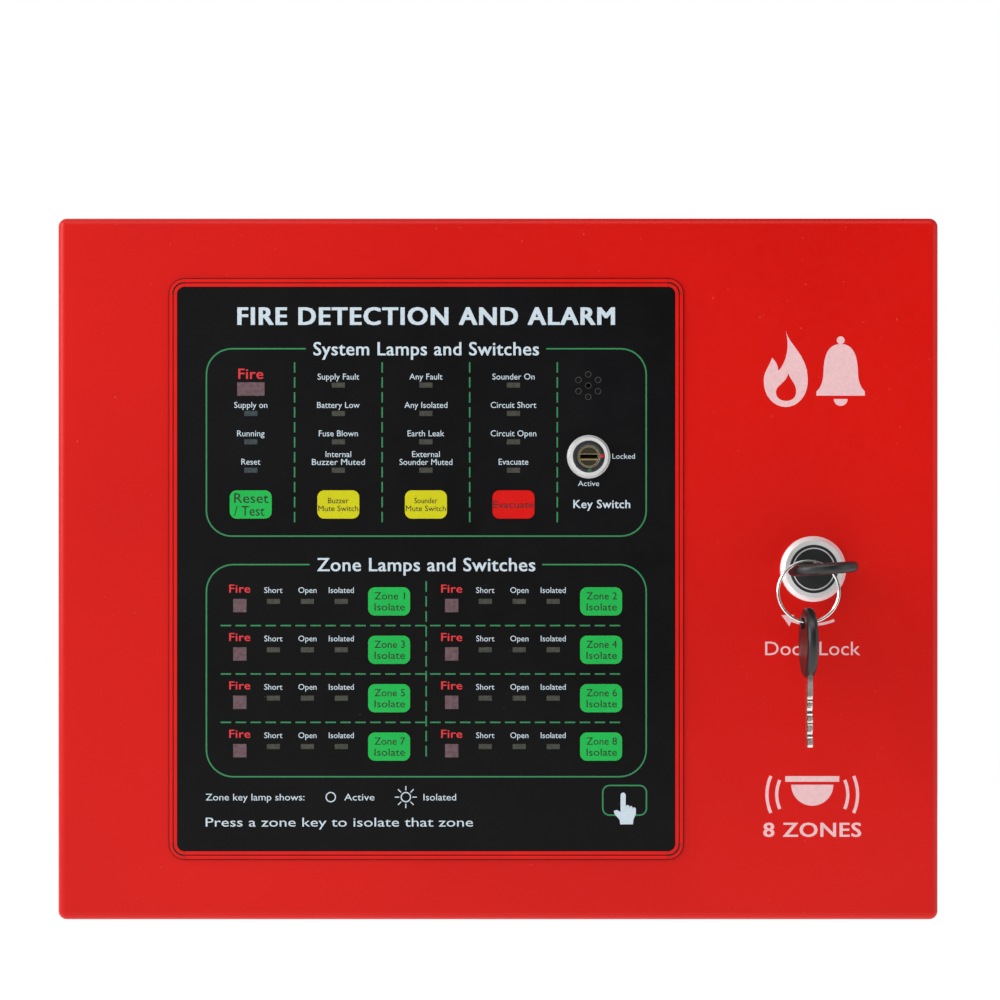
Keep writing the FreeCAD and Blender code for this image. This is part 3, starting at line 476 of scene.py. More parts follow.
def text_mesh(words, spacing=1.0):
    curve = bpy.data.curves.new("legend", "FONT")
    curve.body = words
    curve.space_character = spacing
    curve.align_x = "CENTER"
    curve.resolution_u = 3
    curve.extrude = 0.5
    holder = new_object("legend", curve)
    bpy.context.view_layer.update()
    mesh = bpy.data.meshes.new_from_object(holder.evaluated_get(bpy.context.evaluated_depsgraph_get()))
    bpy.data.objects.remove(holder)
    bpy.data.curves.remove(curve)
    welded = bmesh.new()
    welded.from_mesh(mesh)
    bmesh.ops.remove_doubles(welded, verts=welded.verts, dist=1e-5)
    welded.to_mesh(mesh)
    welded.free()
    return mesh


def thickened(mesh, across, up):
    """Heavier letters: the union of the mesh with copies of itself moved a little each way."""
    holders = []
    for dx, dy in ((0, 0), (-across, -up), (across, -up), (-across, up), (across, up)):
        copy = mesh.copy()
        copy.transform(Matrix.Translation((dx, dy, 0)))
        holder = new_object("legend", copy)
        holders.append(holder)
    whole = holders[0]
    for other in holders[1:]:
        join = whole.modifiers.new("join", "BOOLEAN")
        join.operation = "UNION"
        join.solver = "MANIFOLD"
        join.object = other
    bpy.context.view_layer.update()
    made = bpy.data.meshes.new_from_object(whole.evaluated_get(bpy.context.evaluated_depsgraph_get()))
    for holder in holders:
        copy = holder.data
        bpy.data.objects.remove(holder)
        bpy.data.meshes.remove(copy)
    bpy.data.meshes.remove(mesh)
    return made


def cap_height():
    mesh = text_mesh("H")
    heights = [v.co.y for v in mesh.vertices]
    bpy.data.meshes.remove(mesh)
    return max(heights) - min(heights)


CAP = cap_height()
# How much further apart letters stand for each unit that they are thickened by.
BOLD_SPACING = 3.6


def letter(bm, words, x, z, cap, face, width=None, bold=0.0, align="CENTER"):
    """Add raised print with capitals cap high, its middle line at z, squeezed to a width if given."""
    mesh = text_mesh(words, 1.0 + BOLD_SPACING * bold)
    if bold:
        mesh = thickened(mesh, bold, bold * 0.4)
    xs = [v.co.x for v in mesh.vertices]
    scale = cap / CAP
    wide = (max(xs) - min(xs)) * scale
    stretch = width / wide if width else 1.0
    shift = {"CENTER": -(max(xs) + min(xs)) / 2, "LEFT": -min(xs)}[align]
    start = len(bm.verts)
    bm.from_mesh(mesh)
    bpy.data.meshes.remove(mesh)
    bm.verts.ensure_lookup_table()
    for vert in bm.verts[start:]:
        across = (vert.co.x + shift) * scale * stretch + x
        rise = vert.co.y * scale - cap / 2 + z
        vert.co = Vector((across, face - PRINT if vert.co.z > 0 else face + PRINT / 2, rise))


# The printed front

LINE = 0.6
DASH = 4.27
DASH_PITCH = 6.1
SYSTEM_BOX = (-118.9, 13.4, 60.4, 89.8, 10.4)
ZONE_BOX = (-118.9, -84.7, 60.4, 1.8, 11.0)
TITLE_GAP = ((-78.4, 19.6), (-76.8, 18.0))
# Where the dashed rules start and end, and the frame of the hand with its corner radius.
COLUMN_RULE = (84.3, 19.0)
MIDDLE_RULE = (-5.0, -80.6)
ROW_RULE = (-113.1, 54.2)
HAND_FRAME = (42.7, -100.35, 60.5, -88.25, 2.8)
BAND_WIDTH = 1.35
HAIRLINE = 0.16


def box_with_gap(box, gap):
    """The rounded frame of a section, open at the top for its title."""
    x0, z0, x1, z1, radius = box
    path = [(gap[0], z1)] + arc(x0 + radius, z1 - radius, radius, 90, 180)
    path += arc(x0 + radius, z0 + radius, radius, 180, 270)
    path += arc(x1 - radius, z0 + radius, radius, 270, 360)
    return path + arc(x1 - radius, z1 - radius, radius, 0, 90) + [(gap[1], z1)]


def dashes(bm, start, end, face):
    """A dashed line from one point to another."""
    start, end = Vector(start), Vector(end)
    along = (end - start).normalized()
    reach = (end - start).length
    offset = 0.0
    while offset + DASH <= reach + 0.01:
        first = start + along * offset
        print_strip(bm, [first, first + along * DASH], LINE, face)
        offset += DASH_PITCH


def key_middle(name):
    return middle(f"key_{name}")


def draw_green_lines():
    bm = bmesh.new()
    face = OVERLAY_FACE
    for box, gap in zip((SYSTEM_BOX, ZONE_BOX), TITLE_GAP):
        print_strip(bm, box_with_gap(box, gap), LINE, face)
    columns = [key_middle(n).x for n in ("reset_test", "buzzer_silence", "sounder_silence", "evacuate")]
    pitch = columns[1] - columns[0]
    for x in columns:
        dashes(bm, *[(x + pitch / 2, z) for z in COLUMN_RULE], face)
    dashes(bm, *[(OVERLAY_MIDDLE.x, z) for z in MIDDLE_RULE], face)
    rows = [key_middle(f"zone_{n}").z for n in (1, 3, 5, 7)]
    for upper, lower in zip(rows, rows[1:]):
        z = (upper + lower) / 2
        dashes(bm, *[(x, z) for x in ROW_RULE], face)
    print_strip(bm, round_box(*HAND_FRAME), LINE, face, closed=True)
    finish_mesh("front_green_lines", bm, "door", INK_GREEN)


def draw_border():
    """Two red bands round the membrane, with thin dark lines between and across the corners."""
    low, high = OVERLAY_LOW, OVERLAY_HIGH
    bands = bmesh.new()
    for inset, radius in ((0.95, 5.4), (2.72, 3.7)):
        path = round_box(low.x + inset, low.z + inset, high.x - inset, high.z - inset, radius)
        print_strip(bands, path, BAND_WIDTH, OVERLAY_FACE, closed=True)
    finish_mesh("front_red_bands", bands, "door", MEMBRANE_RED)
    lines = bmesh.new()
    front = OVERLAY_FACE - PRINT * 1.6
    corner = 6.4
    for sx, x in ((1, low.x), (-1, high.x)):
        for sz, z in ((1, low.z), (-1, high.z)):
            cx, cz = x + sx * corner, z + sz * corner
            start = {(1, 1): 180, (1, -1): 90, (-1, 1): 270, (-1, -1): 0}[(sx, sz)]
            paths = [[(cx, z + sz * reach) for reach in (0.3, 3.4)],
                     [(x + sx * reach, cz) for reach in (0.3, 3.4)]]
            paths += [arc(cx, cz, corner - inset, start, start + 90) for inset in (1.45, 2.05)]
            for path in paths:
                strip(lines, path, HAIRLINE, front, OVERLAY_FACE)
    finish_mesh("front_border_lines", lines, "door", INK_BLACK)


LAMP_TEXT = (
    ("key_buzzer_silence", ("Supply Fault", "Battery Low", "Fuse Blown", ("Internal", "Buzzer Muted"))),
    ("key_sounder_silence", ("Any Fault", "Any Isolated", "Earth Leak", ("External", "Sounder Muted"))),
    ("key_evacuate", ("Sounder On", "Circuit Short", "Circuit Open", "Evacuate")),
)
SMALL_CAP = 2.4
LAMP_ROWS = (75.0, 63.43, 51.86, 40.29)
TEXT_ABOVE_LAMP = 3.45
FOOT_LEFT = -119.2
LEGEND_RISE = -93.0
ACTIVE_MARK, ISOLATED_MARK = -68.2, -37.6


def draw_legends():
    white = bmesh.new()
    red = bmesh.new()
    face = OVERLAY_FACE
    letter(white, "FIRE DETECTION AND ALARM", OVERLAY_MIDDLE.x, 103.1, 6.9, face, 154.0, 0.035)
    letter(white, "System Lamps and Switches", OVERLAY_MIDDLE.x, 89.8, 5.3, face, 92.0, 0.014)
    letter(white, "Zone Lamps and Switches", OVERLAY_MIDDLE.x, 1.8, 5.3, face, 89.0, 0.014)
    first = key_middle("reset_test").x
    letter(red, "Fire", first, 79.6, 4.1, face, 10.2, 0.014)
    for words, z in zip(("Supply on", "Running", "Reset"), LAMP_ROWS[1:]):
        letter(white, words, first, z + TEXT_ABOVE_LAMP, SMALL_CAP, face)
    for node, column in LAMP_TEXT:
        x = middle(node).x
        for words, z in zip(column, LAMP_ROWS):
            if isinstance(words, str):
                letter(white, words, x, z + TEXT_ABOVE_LAMP, SMALL_CAP, face)
            else:
                letter(white, words[0], x, z + 6.55, SMALL_CAP, face)
                letter(white, words[1], x, z + 3.35, SMALL_CAP, face, 21.6)
    for number in range(1, 9):
        key = key_middle(f"zone_{number}")
        letter(red, "Fire", key.x - 60.9, key.z + 5.2, 3.25, face, 8.6, 0.014)
        for words, offset in (("Short", -47.2), ("Open", -33.3), ("Isolated", -19.5)):
            letter(white, words, key.x + offset, key.z + 4.6, 2.3, face)
    letter(white, "Locked", SWITCH.x + 9.7, SWITCH.z + 0.3, 2.1, face, 9.2, align="LEFT")
    letter(white, "Active", SWITCH.x, SWITCH.z - 10.8, 2.1, face, 8.6)
    letter(white, "Key Switch", SWITCH.x + 5.4, 26.5, 3.3, face, 23.2, 0.014)
    for words, x, width in (("Zone key lamp shows:", FOOT_LEFT, 40.3), ("Active", -62.7, 12.3),
                            ("Isolated", -30.4, 13.3)):
        letter(white, words, x, LEGEND_RISE, 2.7, face, width, align="LEFT")
    letter(white, "Press a zone key to isolate that zone", FOOT_LEFT, -103.2, 3.6, face, 109.0, align="LEFT")
    for x in (ACTIVE_MARK, ISOLATED_MARK):
        print_strip(white, dot(x, LEGEND_RISE, 1.9), 0.45, face, closed=True)
    for turn in range(8):
        ray = [on_circle(ISOLATED_MARK, LEGEND_RISE, radius, turn * 45) for radius in (2.7, 4.5)]
        print_strip(white, ray, 0.4, face)
    draw_hand(white, face)
    finish_mesh("front_white_print", white, "door", INK_WHITE)
    finish_mesh("front_red_print", red, "door", INK_RED)


def draw_hand(bm, face):
    """A plain pointing hand over the foot of its frame."""
    x, z = 51.0, -104.1
    outline = arc(x, z + 11.9, 1.05, 0, 180, 6)
    outline += [(x - 1.05, z + 5.0), (x - 2.6, z + 5.9), (x - 3.8, z + 5.5), (x - 3.5, z + 4.2)]
    outline += [(x - 1.4, z + 1.8), (x - 1.2, z), (x + 4.0, z), (x + 4.2, z + 2.0), (x + 5.2, z + 4.2)]
    for across, up in ((4.55, 6.3), (3.2, 6.9), (1.85, 7.3)):
        outline += arc(x + across, z + up, 0.62, 0, 180, 5)
    outline += [(x + 1.05, z + 7.4)]
    slab(bm, outline, face - PRINT * 2, face + PRINT / 2)


# For each key: its lines as (words, width, capital height), the step between lines and how far in they
# start, or None for lines in the middle of the key.
KEY_TEXT = {
    "reset_test": ((("Reset", 14.0, 3.9), ("/ Test", 12.4, 3.9)), 5.2, 1.8),
    "buzzer_silence": ((("Buzzer", 8.4, 2.2), ("Mute Switch", 16.2, 2.2)), 3.2, None),
    "sounder_silence": ((("Sounder", 9.4, 2.2), ("Mute Switch", 16.2, 2.2)), 3.2, None),
    "evacuate": ((("Evacuate", 16.4, 2.8),), 4.0, None),
}


def draw_key_legends():
    """The words on each key, which move with it."""
    for name in list(KEY_TEXT) + [f"zone_{n}" for n in range(1, 9)]:
        zone_text = (((f"Zone {name[-1]}", 12.4, 2.9), ("Isolate", 12.4, 2.9)), 4.5, 2.6)
        lines, step, inset = KEY_TEXT.get(name, zone_text)
        low, high = span(f"key_{name}")
        x, middle_line = centre_of(low, high)
        bm = bmesh.new()
        for row, (words, width, cap) in enumerate(lines):
            z = middle_line + step * ((len(lines) - 1) / 2 - row)
            if inset is None:
                letter(bm, words, x, z, cap, KEY_FACE, width)
            else:
                letter(bm, words, low.x + inset, z, cap, KEY_FACE, width, align="LEFT")
        finish_mesh(f"legend_{name}", bm, f"key_{name}", INK_BLACK)


def add_windows():
    """A tinted pane in each opening of the membrane."""
    for node, name, material in (("fire_lamps", "fire_windows", WINDOW_RED),
                                 ("fault_lamps", "fault_windows", WINDOW_YELLOW),
                                 ("status_lamps", "status_windows", WINDOW_GREEN)):
        bm = bmesh.new()
        edge = 0.12
        for low, high in islands(node):
            chamfered_box(bm, (low.x - edge, OVERLAY_FACE + 0.08, low.z - edge * 0.7),
                          (high.x + edge, OVERLAY_FACE + 0.55, high.z + edge * 0.7), 0.06)
        finish_mesh(name, bm, "door", material)


def islands(node):
    """The box of each separate solid of a CAD node, in millimetres."""
    bm = bmesh.new()
    bm.from_mesh(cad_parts[node].data)
    bmesh.ops.remove_doubles(bm, verts=bm.verts, dist=1e-7)
    seen = set()
    boxes = []
    for start in bm.verts:
        if start in seen:
            continue
        seen.add(start)
        found = [start]
        for vert in found:
            near = {edge.other_vert(vert) for edge in vert.link_edges} - seen
            seen |= near
            found += near
        points = [vert.co / MM for vert in found]
        boxes.append([Vector(pick(p[k] for p in points) for k in range(3)) for pick in (min, max)])
    bm.free()
    boxes.sort(key=lambda box: (round(-box[1].z, 1), round(box[0].x, 1)))
    return boxes


# Print on the red door

ARROW_RADIUS = 22.7
ARROW_HALF_WIDTH = 2.5


def draw_door_print():
    bm = bmesh.new()
    face = DOOR_FACE
    letter(bm, "Door Lock", LOCK.x + 0.1, -32.4, 5.5, face, 38.8)
    print_strip(bm, arc(LOCK.x, LOCK.z, ARROW_RADIUS, -67, -112, 14), 1.1, face)
    tip = on_circle(LOCK.x, LOCK.z, ARROW_RADIUS, -124)
    base = [on_circle(LOCK.x, LOCK.z, ARROW_RADIUS + side * ARROW_HALF_WIDTH, -112) for side in (1, -1)]
    print_slab(bm, [tip] + base, face)
    draw_flame(bm, 117.4, 81.6, face)
    draw_bell(bm, 139.8, 80.4, 0.95, face)
    draw_detector(bm, 128.2, -91.0, face)
    letter(bm, "8 ZONES", 128.2, -106.4, 5.6, face, 40.0, 0.02)
    finish_mesh("door_print", bm, "door", INK_DOOR)


def draw_flame(bm, x, z, face):
    """A plain flame: one curved outline with an inner flame cut out of it."""
    outer = bezier_outline([((0, 15.5), (1.5, 9.5), (8.8, 6.0), (9.0, -4.0)),
                            ((9.0, -4.0), (9.2, -11.5), (4.5, -15.5), (0, -15.5)),
                            ((0, -15.5), (-5.0, -15.5), (-9.2, -11.0), (-9.0, -4.5)),
                            ((-9.0, -4.5), (-8.8, -0.5), (-6.6, 1.2), (-5.6, 4.6)),
                            ((-5.6, 4.6), (-3.6, 2.8), (-3.2, 0.8), (-3.0, -0.8)),
                            ((-3.0, -0.8), (0.6, 3.2), (1.6, 9.5), (0, 15.5))])
    inner = bezier_outline([((1.0, -1.8), (2.2, -5.0), (4.4, -6.0), (4.2, -9.6)),
                            ((4.2, -9.6), (4.0, -12.0), (2.2, -13.0), (0.2, -13.0)),
                            ((0.2, -13.0), (-2.4, -13.0), (-4.2, -11.6), (-4.0, -9.0)),
                            ((-4.0, -9.0), (-3.4, -6.2), (0.2, -5.6), (1.0, -1.8))])
    ring_slab(bm, [(x + a, z + b) for a, b in outer], [(x + a, z + b) for a, b in inner], face)


def bezier_outline(curves, steps=8):
    points = []
    for a, b, c, d in curves:
        for i in range(steps):
            t = i / steps
            weights = ((1 - t) ** 3, 3 * t * (1 - t) ** 2, 3 * t * t * (1 - t), t ** 3)
            points.append(tuple(sum(w * p[k] for w, p in zip(weights, (a, b, c, d))) for k in (0, 1)))
    return points


def ring_slab(bm, outer, inner, face):
    """A flat shape with a hole in it, made by filling between two outlines."""
    layers = []
    for y in (face - PRINT, face + PRINT / 2):
        loops = [[bm.verts.new((px, y, pz)) for px, pz in outline] for outline in (outer, inner)]
        edges = [bm.edges.new(pair) for loop in loops for pair in zip(loop, loop[1:] + loop[:1])]
        bmesh.ops.triangle_fill(bm, edges=edges, use_beauty=True)
        layers.append(loops)
    for near, far in zip(*layers):
        bridge(bm, near, far)


def draw_bell(bm, x, z, size, face):
    """A plain bell with a clapper below it and a knob on top."""
    half = [((0, 12.0), (5.6, 12.0), (7.2, 7.0), (7.4, 0.0)),
            ((7.4, 0.0), (7.6, -4.6), (8.6, -6.6), (10.4, -8.4))]
    right = bezier_outline(half) + [(10.4, -8.4), (10.4, -10.2)]
    left = [(-a, b) for a, b in reversed(right)]
    print_slab(bm, [(x + size * a, z + size * b) for a, b in right + left[:-1]], face)
    print_slab(bm, arc(x, z - 11.6 * size, 3.0 * size, 180, 360, 12), face)
    print_slab(bm, dot(x, z + 13.6 * size, 1.7 * size), face)


def draw_detector(bm, x, z, face):
    """A plain ceiling detector seen from the side, with two sound arcs on each side."""
    print_slab(bm, [(x - 11, z + 6.5), (x - 11, z + 4.2), (x + 11, z + 4.2), (x + 11, z + 6.5)], face)
    print_slab(bm, arc(x, z + 3.0, 8.6, 180, 360, 18), face)
    for reach in (14.5, 18.5):
        for aim in (0, 180):
            print_strip(bm, arc(x, z - 1.0, reach, aim - 24, aim + 24), 1.3, face)


# Lock, key switch and key ring

def add_switch_details():
    """The dark ring inside the bezel, its two coloured dots and the bright rim of the plug."""
    bm = bmesh.new()
    y = SWITCH_FACE
    centre = Vector((SWITCH.x, 0, SWITCH.z))
    lathe(bm, [(4.55, y + 1.0), (4.55, y + 0.45), (4.75, y + 0.3), (6.3, y + 0.3), (6.5, y + 0.45),
               (6.5, y + 1.0)], centre)
    finish_mesh("keyswitch_ring", bm, "door", PLUG_BLACK, smooth=True)
    for name, material, dx, dz in (("keyswitch_off_dot", KEY_RED, 5.5, 0.3),
                                   ("keyswitch_on_dot", DOT_GREEN, 0.4, -5.5)):
        spot = bmesh.new()
        lathe(spot, [(0.0, y + 0.20), (0.55, y + 0.21), (0.8, y + 0.32), (0.0, y + 0.32)],
              centre + Vector((dx, 0, dz)), 20)
        finish_mesh(name, spot, "door", material, smooth=True)
    rim = bmesh.new()
    face = span("keyswitch_plug")[0].y
    lathe(rim, [(3.75, face + 0.02), (3.8, face - 0.18), (4.15, face - 0.18), (4.2, face + 0.02)], centre)
    finish_mesh("keyswitch_plug_rim", rim, "keyswitch", BRASS, smooth=True)
    edges = bmesh.new()
    for half, low, high in ((3.65, -1.45, -0.88), (3.7, 0.95, 1.15)):
        chamfered_box(edges, (SWITCH.x - half, face - 0.10, SWITCH.z + low),
                      (SWITCH.x + half, face + 0.05, SWITCH.z + high), 0.04)
    finish_mesh("keyswitch_keyway_edges", edges, "keyswitch", BRASS)


def add_grille_rims():
    """The turned-over edges of the sounder's holes."""
    bm = bmesh.new()
    cx, cz = GRILLE.x, GRILLE.z
    y = OVERLAY_FACE
    profile = [(1.02, y + 0.9), (0.98, y + 0.25), (1.06, y), (1.16, y - 0.03), (1.3, y + 0.01),
               (1.3, y + 0.9)]
    for x, z in [(cx, cz)] + [on_circle(cx, cz, GRILLE_RING, angle) for angle in range(30, 390, 60)]:
        lathe(bm, profile, Vector((x, 0, z)), 24)
    finish_mesh("grille_rims", bm, "door", GRILLE_GREY, smooth=True)


def split_ring():
    """Two turns of flattened spring wire with an offset end."""
    bm = bmesh.new()
    low, high = span("key_ring")
    outer = (high.x - low.x) / 2
    radial, axial = 1.1, (high.y - low.y) / 2 - 0.06
    turns, steps, sides = 2.0, 192, 8
    rings = []
    for i in range(steps + 1):
        t = i / steps
        angle = math.radians(60) + math.tau * turns * t
        centre = Vector((math.cos(angle), 0, math.sin(angle)))
        # Each turn keeps its own level, and crosses over in a short stretch half way.
        cross = min(1.0, max(0.0, (t - 0.46) / 0.08))
        level = (axial / 2 + 0.03) * (2 * cross - 1)
        ring = []
        for k in range(sides):
            around = math.tau * (k + 0.5) / sides
            reach = outer - radial / 2 + radial / 2 * math.cos(around)
            depth = level + axial / 2 * math.sin(around)
            ring.append(bm.verts.new(RING + centre * reach + Vector((0, depth, 0))))
        rings.append(ring)
    for first, second in zip(rings, rings[1:]):
        bridge(bm, first, second)
    bm.faces.new(rings[0])
    bm.faces.new(list(reversed(rings[-1])))
    piece = finish_mesh("split_ring", bm, "ring", RING_WIRE, smooth=True)
    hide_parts("key_ring")


# What the boards and batteries carry

def screw_heads(node, name, body, facing):
    """Cross-recessed pan heads with their shanks, in place of the plain ones."""
    bm = bmesh.new()
    for low, high in islands(node):
        cx, cz = centre_of(low, high)
        radius = (high.x - low.x) / 2
        top, foot = (low.y, high.y) if facing < 0 else (high.y, low.y)
        under = top - facing * 2.2

        def out(height):
            return top + facing * height

        profile = [(0.0, out(-1.1)), (0.35, out(-1.1)), (radius * 0.36, out(-0.1)),
                   (radius * 0.62, out(-0.12)), (radius * 0.9, out(-0.6)), (radius, out(-1.3)),
                   (radius, under), (radius * 0.5, under), (radius * 0.5, foot), (0.0, foot)]
        lathe(bm, profile, Vector((cx, 0, cz)), 24)
        for across, up in ((0.32, 1.5), (1.5, 0.32)):
            chamfered_box(bm, (cx - across, out(-0.06), cz - up), (cx + across, out(-0.2), cz + up), 0.04)
    piece = finish_mesh(name, bm, body, SOLDER, smooth=True)
    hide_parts(node)


PART_GRID = 2.5


def small_parts(name, body, area, face, facing, neighbours, count, rng):
    """Chip resistors and capacitors with bright ends, set on a grid clear of a board's larger parts."""
    bodies, ends = bmesh.new(), bmesh.new()
    x0, z0, x1, z1 = area
    keep_clear = [box for node in neighbours for box in islands(node)]
    placed = []
    tries = 0
    while len(placed) < count and tries < count * 60:
        tries += 1
        x = round(rng.uniform(x0, x1) / PART_GRID) * PART_GRID
        z = round(rng.uniform(z0, z1) / PART_GRID) * PART_GRID
        upright = rng.random() < 0.5
        if any(abs(x - px) < 2 * PART_GRID and abs(z - pz) < 2 * PART_GRID for px, pz in placed):
            continue
        if any(a.x - PART_GRID < x < b.x + PART_GRID and a.z - PART_GRID < z < b.z + PART_GRID
               for a, b in keep_clear):
            continue
        placed.append((x, z))
        across, up = (0.65, 1.6) if upright else (1.6, 0.65)
        top = face + facing * rng.choice((0.6, 0.6, 1.1))
        chamfered_box(bodies, (x - across, face, z - up), (x + across, top, z + up), 0.08)
        across, up = (0.7, 0.3) if upright else (0.3, 0.7)
        top += facing * 0.06
        for side in (-1.45, 1.45):
            ex, ez = (x, z + side) if upright else (x + side, z)
            chamfered_box(ends, (ex - across, face, ez - up), (ex + across, top, ez + up), 0.05)
    finish_mesh(name, bodies, body, CERAMIC)
    finish_mesh(f"{name}_ends", ends, body, SOLDER)


def populate_boards():
    rng = random.Random(SEED)
    low, high = span("main_board")
    small_parts("main_board_parts", "box", (low.x + 6, low.z + 5, high.x - 6, high.z - 14), low.y, -1,
                ("zone_terminals", "relays", "capacitors", "main_board_chips", "main_board_header",
                 "board_fuses", "main_board_screws"), 150, rng)
    low, high = span("display_board")
    small_parts("display_board_parts", "door", (low.x + 40, -60, high.x - 60, -20), high.y, 1,
                ("display_chips", "display_header", "display_screws", "keyswitch_contacts"), 30, rng)


LEAD_PITCH = 2.54
LEGS_PER_ROW = 7
THROUGH_HOLE_CHIP_WIDTH = 19.0


def solder_joints():
    """Domed joints on the back of the display board, behind each lamp and each switch."""
    bm = bmesh.new()
    back = span("display_board")[1].y
    places = []
    for node in ("fire_lamps", "fault_lamps", "status_lamps"):
        for low, high in islands(node):
            x, z = centre_of(low, high)
            places += [(x - LEAD_PITCH / 2, z), (x + LEAD_PITCH / 2, z)]
    for low, high in islands("tact_switches"):
        x, z = centre_of(low, high)
        places += [(x + dx, z + dz) for dx in (-3.25, 3.25) for dz in (-2.25, 2.25)]
    dome = [(0.95, back), (0.7, back + 0.35), (0.38, back + 0.9), (0.22, back + 1.3), (0.0, back + 1.35)]
    for x, z in places:
        lathe(bm, dome, Vector((x, 0, z)), 12)
    finish_mesh("display_solder", bm, "door", SOLDER, smooth=True)


def chip_legs():
    """Two rows of bright legs on each through-hole chip."""
    for node, board, body, facing in (("main_board_chips", "main_board", "box", -1),
                                      ("display_chips", "display_board", "door", 1)):
        bm = bmesh.new()
        face = span(board)[0].y if facing < 0 else span(board)[1].y
        for low, high in islands(node):
            if high.x - low.x < THROUGH_HOLE_CHIP_WIDTH:
                continue
            for pin in range(LEGS_PER_ROW):
                x = centre_of(low, high)[0] + (pin - (LEGS_PER_ROW - 1) / 2) * LEAD_PITCH
                for root, tip in ((low.z + 0.2, low.z - 0.55), (high.z - 0.2, high.z + 0.55)):
                    chamfered_box(bm, (x - 0.3, face, root), (x + 0.3, face + facing * 2.0, tip), 0.06)
        finish_mesh(f"{node}_legs", bm, body, SOLDER)


WAY_PITCH = 5.0


def terminal_screws():
    """A slotted screw head down each round well of the terminal blocks."""
    bm = bmesh.new()
    for low, high in islands("zone_terminals"):
        cx, cz = centre_of(low, high)
        y = low.y + 0.9
        for way in (-1, 0, 1):
            x, z = cx + way * WAY_PITCH, cz - 1.5
            for start in (188, 8):
                slab(bm, arc(x, z, 1.55, start, start + 164), y, y + 1.0)
            slab(bm, dot(x, z, 1.5), y + 0.4, y + 1.05)
    finish_mesh("terminal_screws", bm, "box", SOLDER)


def capacitor_cans():
    """Sleeved cans with a rolled groove, a scored top and a pale polarity stripe."""
    sleeves, tops, stripes = bmesh.new(), bmesh.new(), bmesh.new()
    for low, high in islands("capacitors"):
        radius = (high.x - low.x) / 2
        x, z = centre_of(low, high)
        centre = Vector((x, 0, z))
        foot, top = high.y, low.y
        lathe(sleeves, [(0.0, foot), (radius - 0.4, foot), (radius, foot - 0.5), (radius, foot - 2.2),
                        (radius - 0.6, foot - 2.8), (radius, foot - 3.4), (radius, top + 0.8),
                        (radius - 0.5, top + 0.15), (radius - 1.2, top + 0.1), (radius - 1.2, top + 0.5),
                        (0.0, top + 0.5)], centre, 40)
        disc = radius - 1.25
        lathe(tops, [(0.0, top + 0.6), (disc, top + 0.6), (disc, top + 0.3), (0.0, top + 0.3)], centre, 40)
        for angle in (0, 60, 120):
            ends = [on_circle(x, z, radius - 2, angle + turn) for turn in (180, 0)]
            strip(tops, ends, 0.25, top + 0.24, top + 0.35)
        band = arc(x, z, radius + 0.03, 60, 100, 8) + arc(x, z, radius - 0.2, 100, 60, 8)
        slab(stripes, band, top + 1.0, foot - 3.6)
    piece = finish_mesh("capacitor_sleeves", sleeves, "box", SLEEVE, smooth=True)
    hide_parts("capacitors")
    finish_mesh("capacitor_tops", tops, "box", SOLDER)
    finish_mesh("capacitor_stripes", stripes, "box", STRIPE)


def relay_cases():
    """Rounded relay cases in place of the plain blocks, each with a moulded step."""
    bm = bmesh.new()
    for low, high in islands("relays"):
        chamfered_box(bm, (low.x, low.y, low.z), (high.x, high.y - 0.8, high.z), 0.5)
        chamfered_box(bm, (low.x + 0.4, high.y - 1.0, low.z + 0.4), (high.x - 0.4, high.y, high.z - 0.4), 0.1)
        chamfered_box(bm, (low.x + 1.2, low.y, low.z + 1.2), (low.x + 2.4, low.y + 0.3, low.z + 2.4), 0.1)
    piece = finish_mesh("relay_cases", bm, "box", RELAY)
    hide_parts("relays")


def battery_details():
    """The seam of each lid, a row of vent caps under it and a blank label."""
    lids, caps, labels = bmesh.new(), bmesh.new(), bmesh.new()
    proud, cells = 0.35, 6
    for low, high in islands("batteries"):
        top = high.z
        chamfered_box(lids, (low.x - proud, low.y - proud, top - 9.5),
                      (high.x + proud, high.y + proud, top - 7.5), 0.3)
        cap = [(0.0, top + 0.45), (5.2, top + 0.45), (5.6, top + 0.1), (5.6, top - 0.5), (0.0, top - 0.5)]
        for cell in range(cells):
            x = low.x + (high.x - low.x) * (cell + 0.5) / cells
            lathe(caps, cap, Vector((x, (low.y + high.y) / 2 + 2.0, 0)), 28, axis="Z")
        label = round_box(low.x + 12.0, top - 24.0, low.x + 62.0, top - 12.0, 2.0)
        slab(labels, label, low.y - 0.18, low.y + 0.1)
    finish_mesh("battery_lid_seams", lids, "box", BATTERY)
    finish_mesh("battery_vent_caps", caps, "box", BATTERY, smooth=True)
    finish_mesh("battery_labels", labels, "box", LABEL)


def silkscreen():
    """White outlines round the larger parts of the main board, and a number at each terminal block."""
    bm = bmesh.new()
    face = span("main_board")[0].y
    gap = 1.3
    for node in ("main_board_chips", "relays", "capacitors", "board_fuses", "main_board_header"):
        for low, high in islands(node):
            if node == "capacitors":
                path = dot(*centre_of(low, high), (high.x - low.x) / 2 + 0.8)
            else:
                path = round_box(low.x - gap, low.z - gap, high.x + gap, high.z + gap, 0.6, 2)
            strip(bm, path, 0.3, face - 0.03, face + 0.02, closed=True)
    for number, (low, high) in enumerate(sorted(islands("zone_terminals"), key=lambda b: b[0].x), 1):
        letter(bm, str(number), centre_of(low, high)[0], low.z - 2.4, 2.4, face)
    finish_mesh("main_board_silkscreen", bm, "box", INK_WHITE)


# Finishes on the CAD nodes

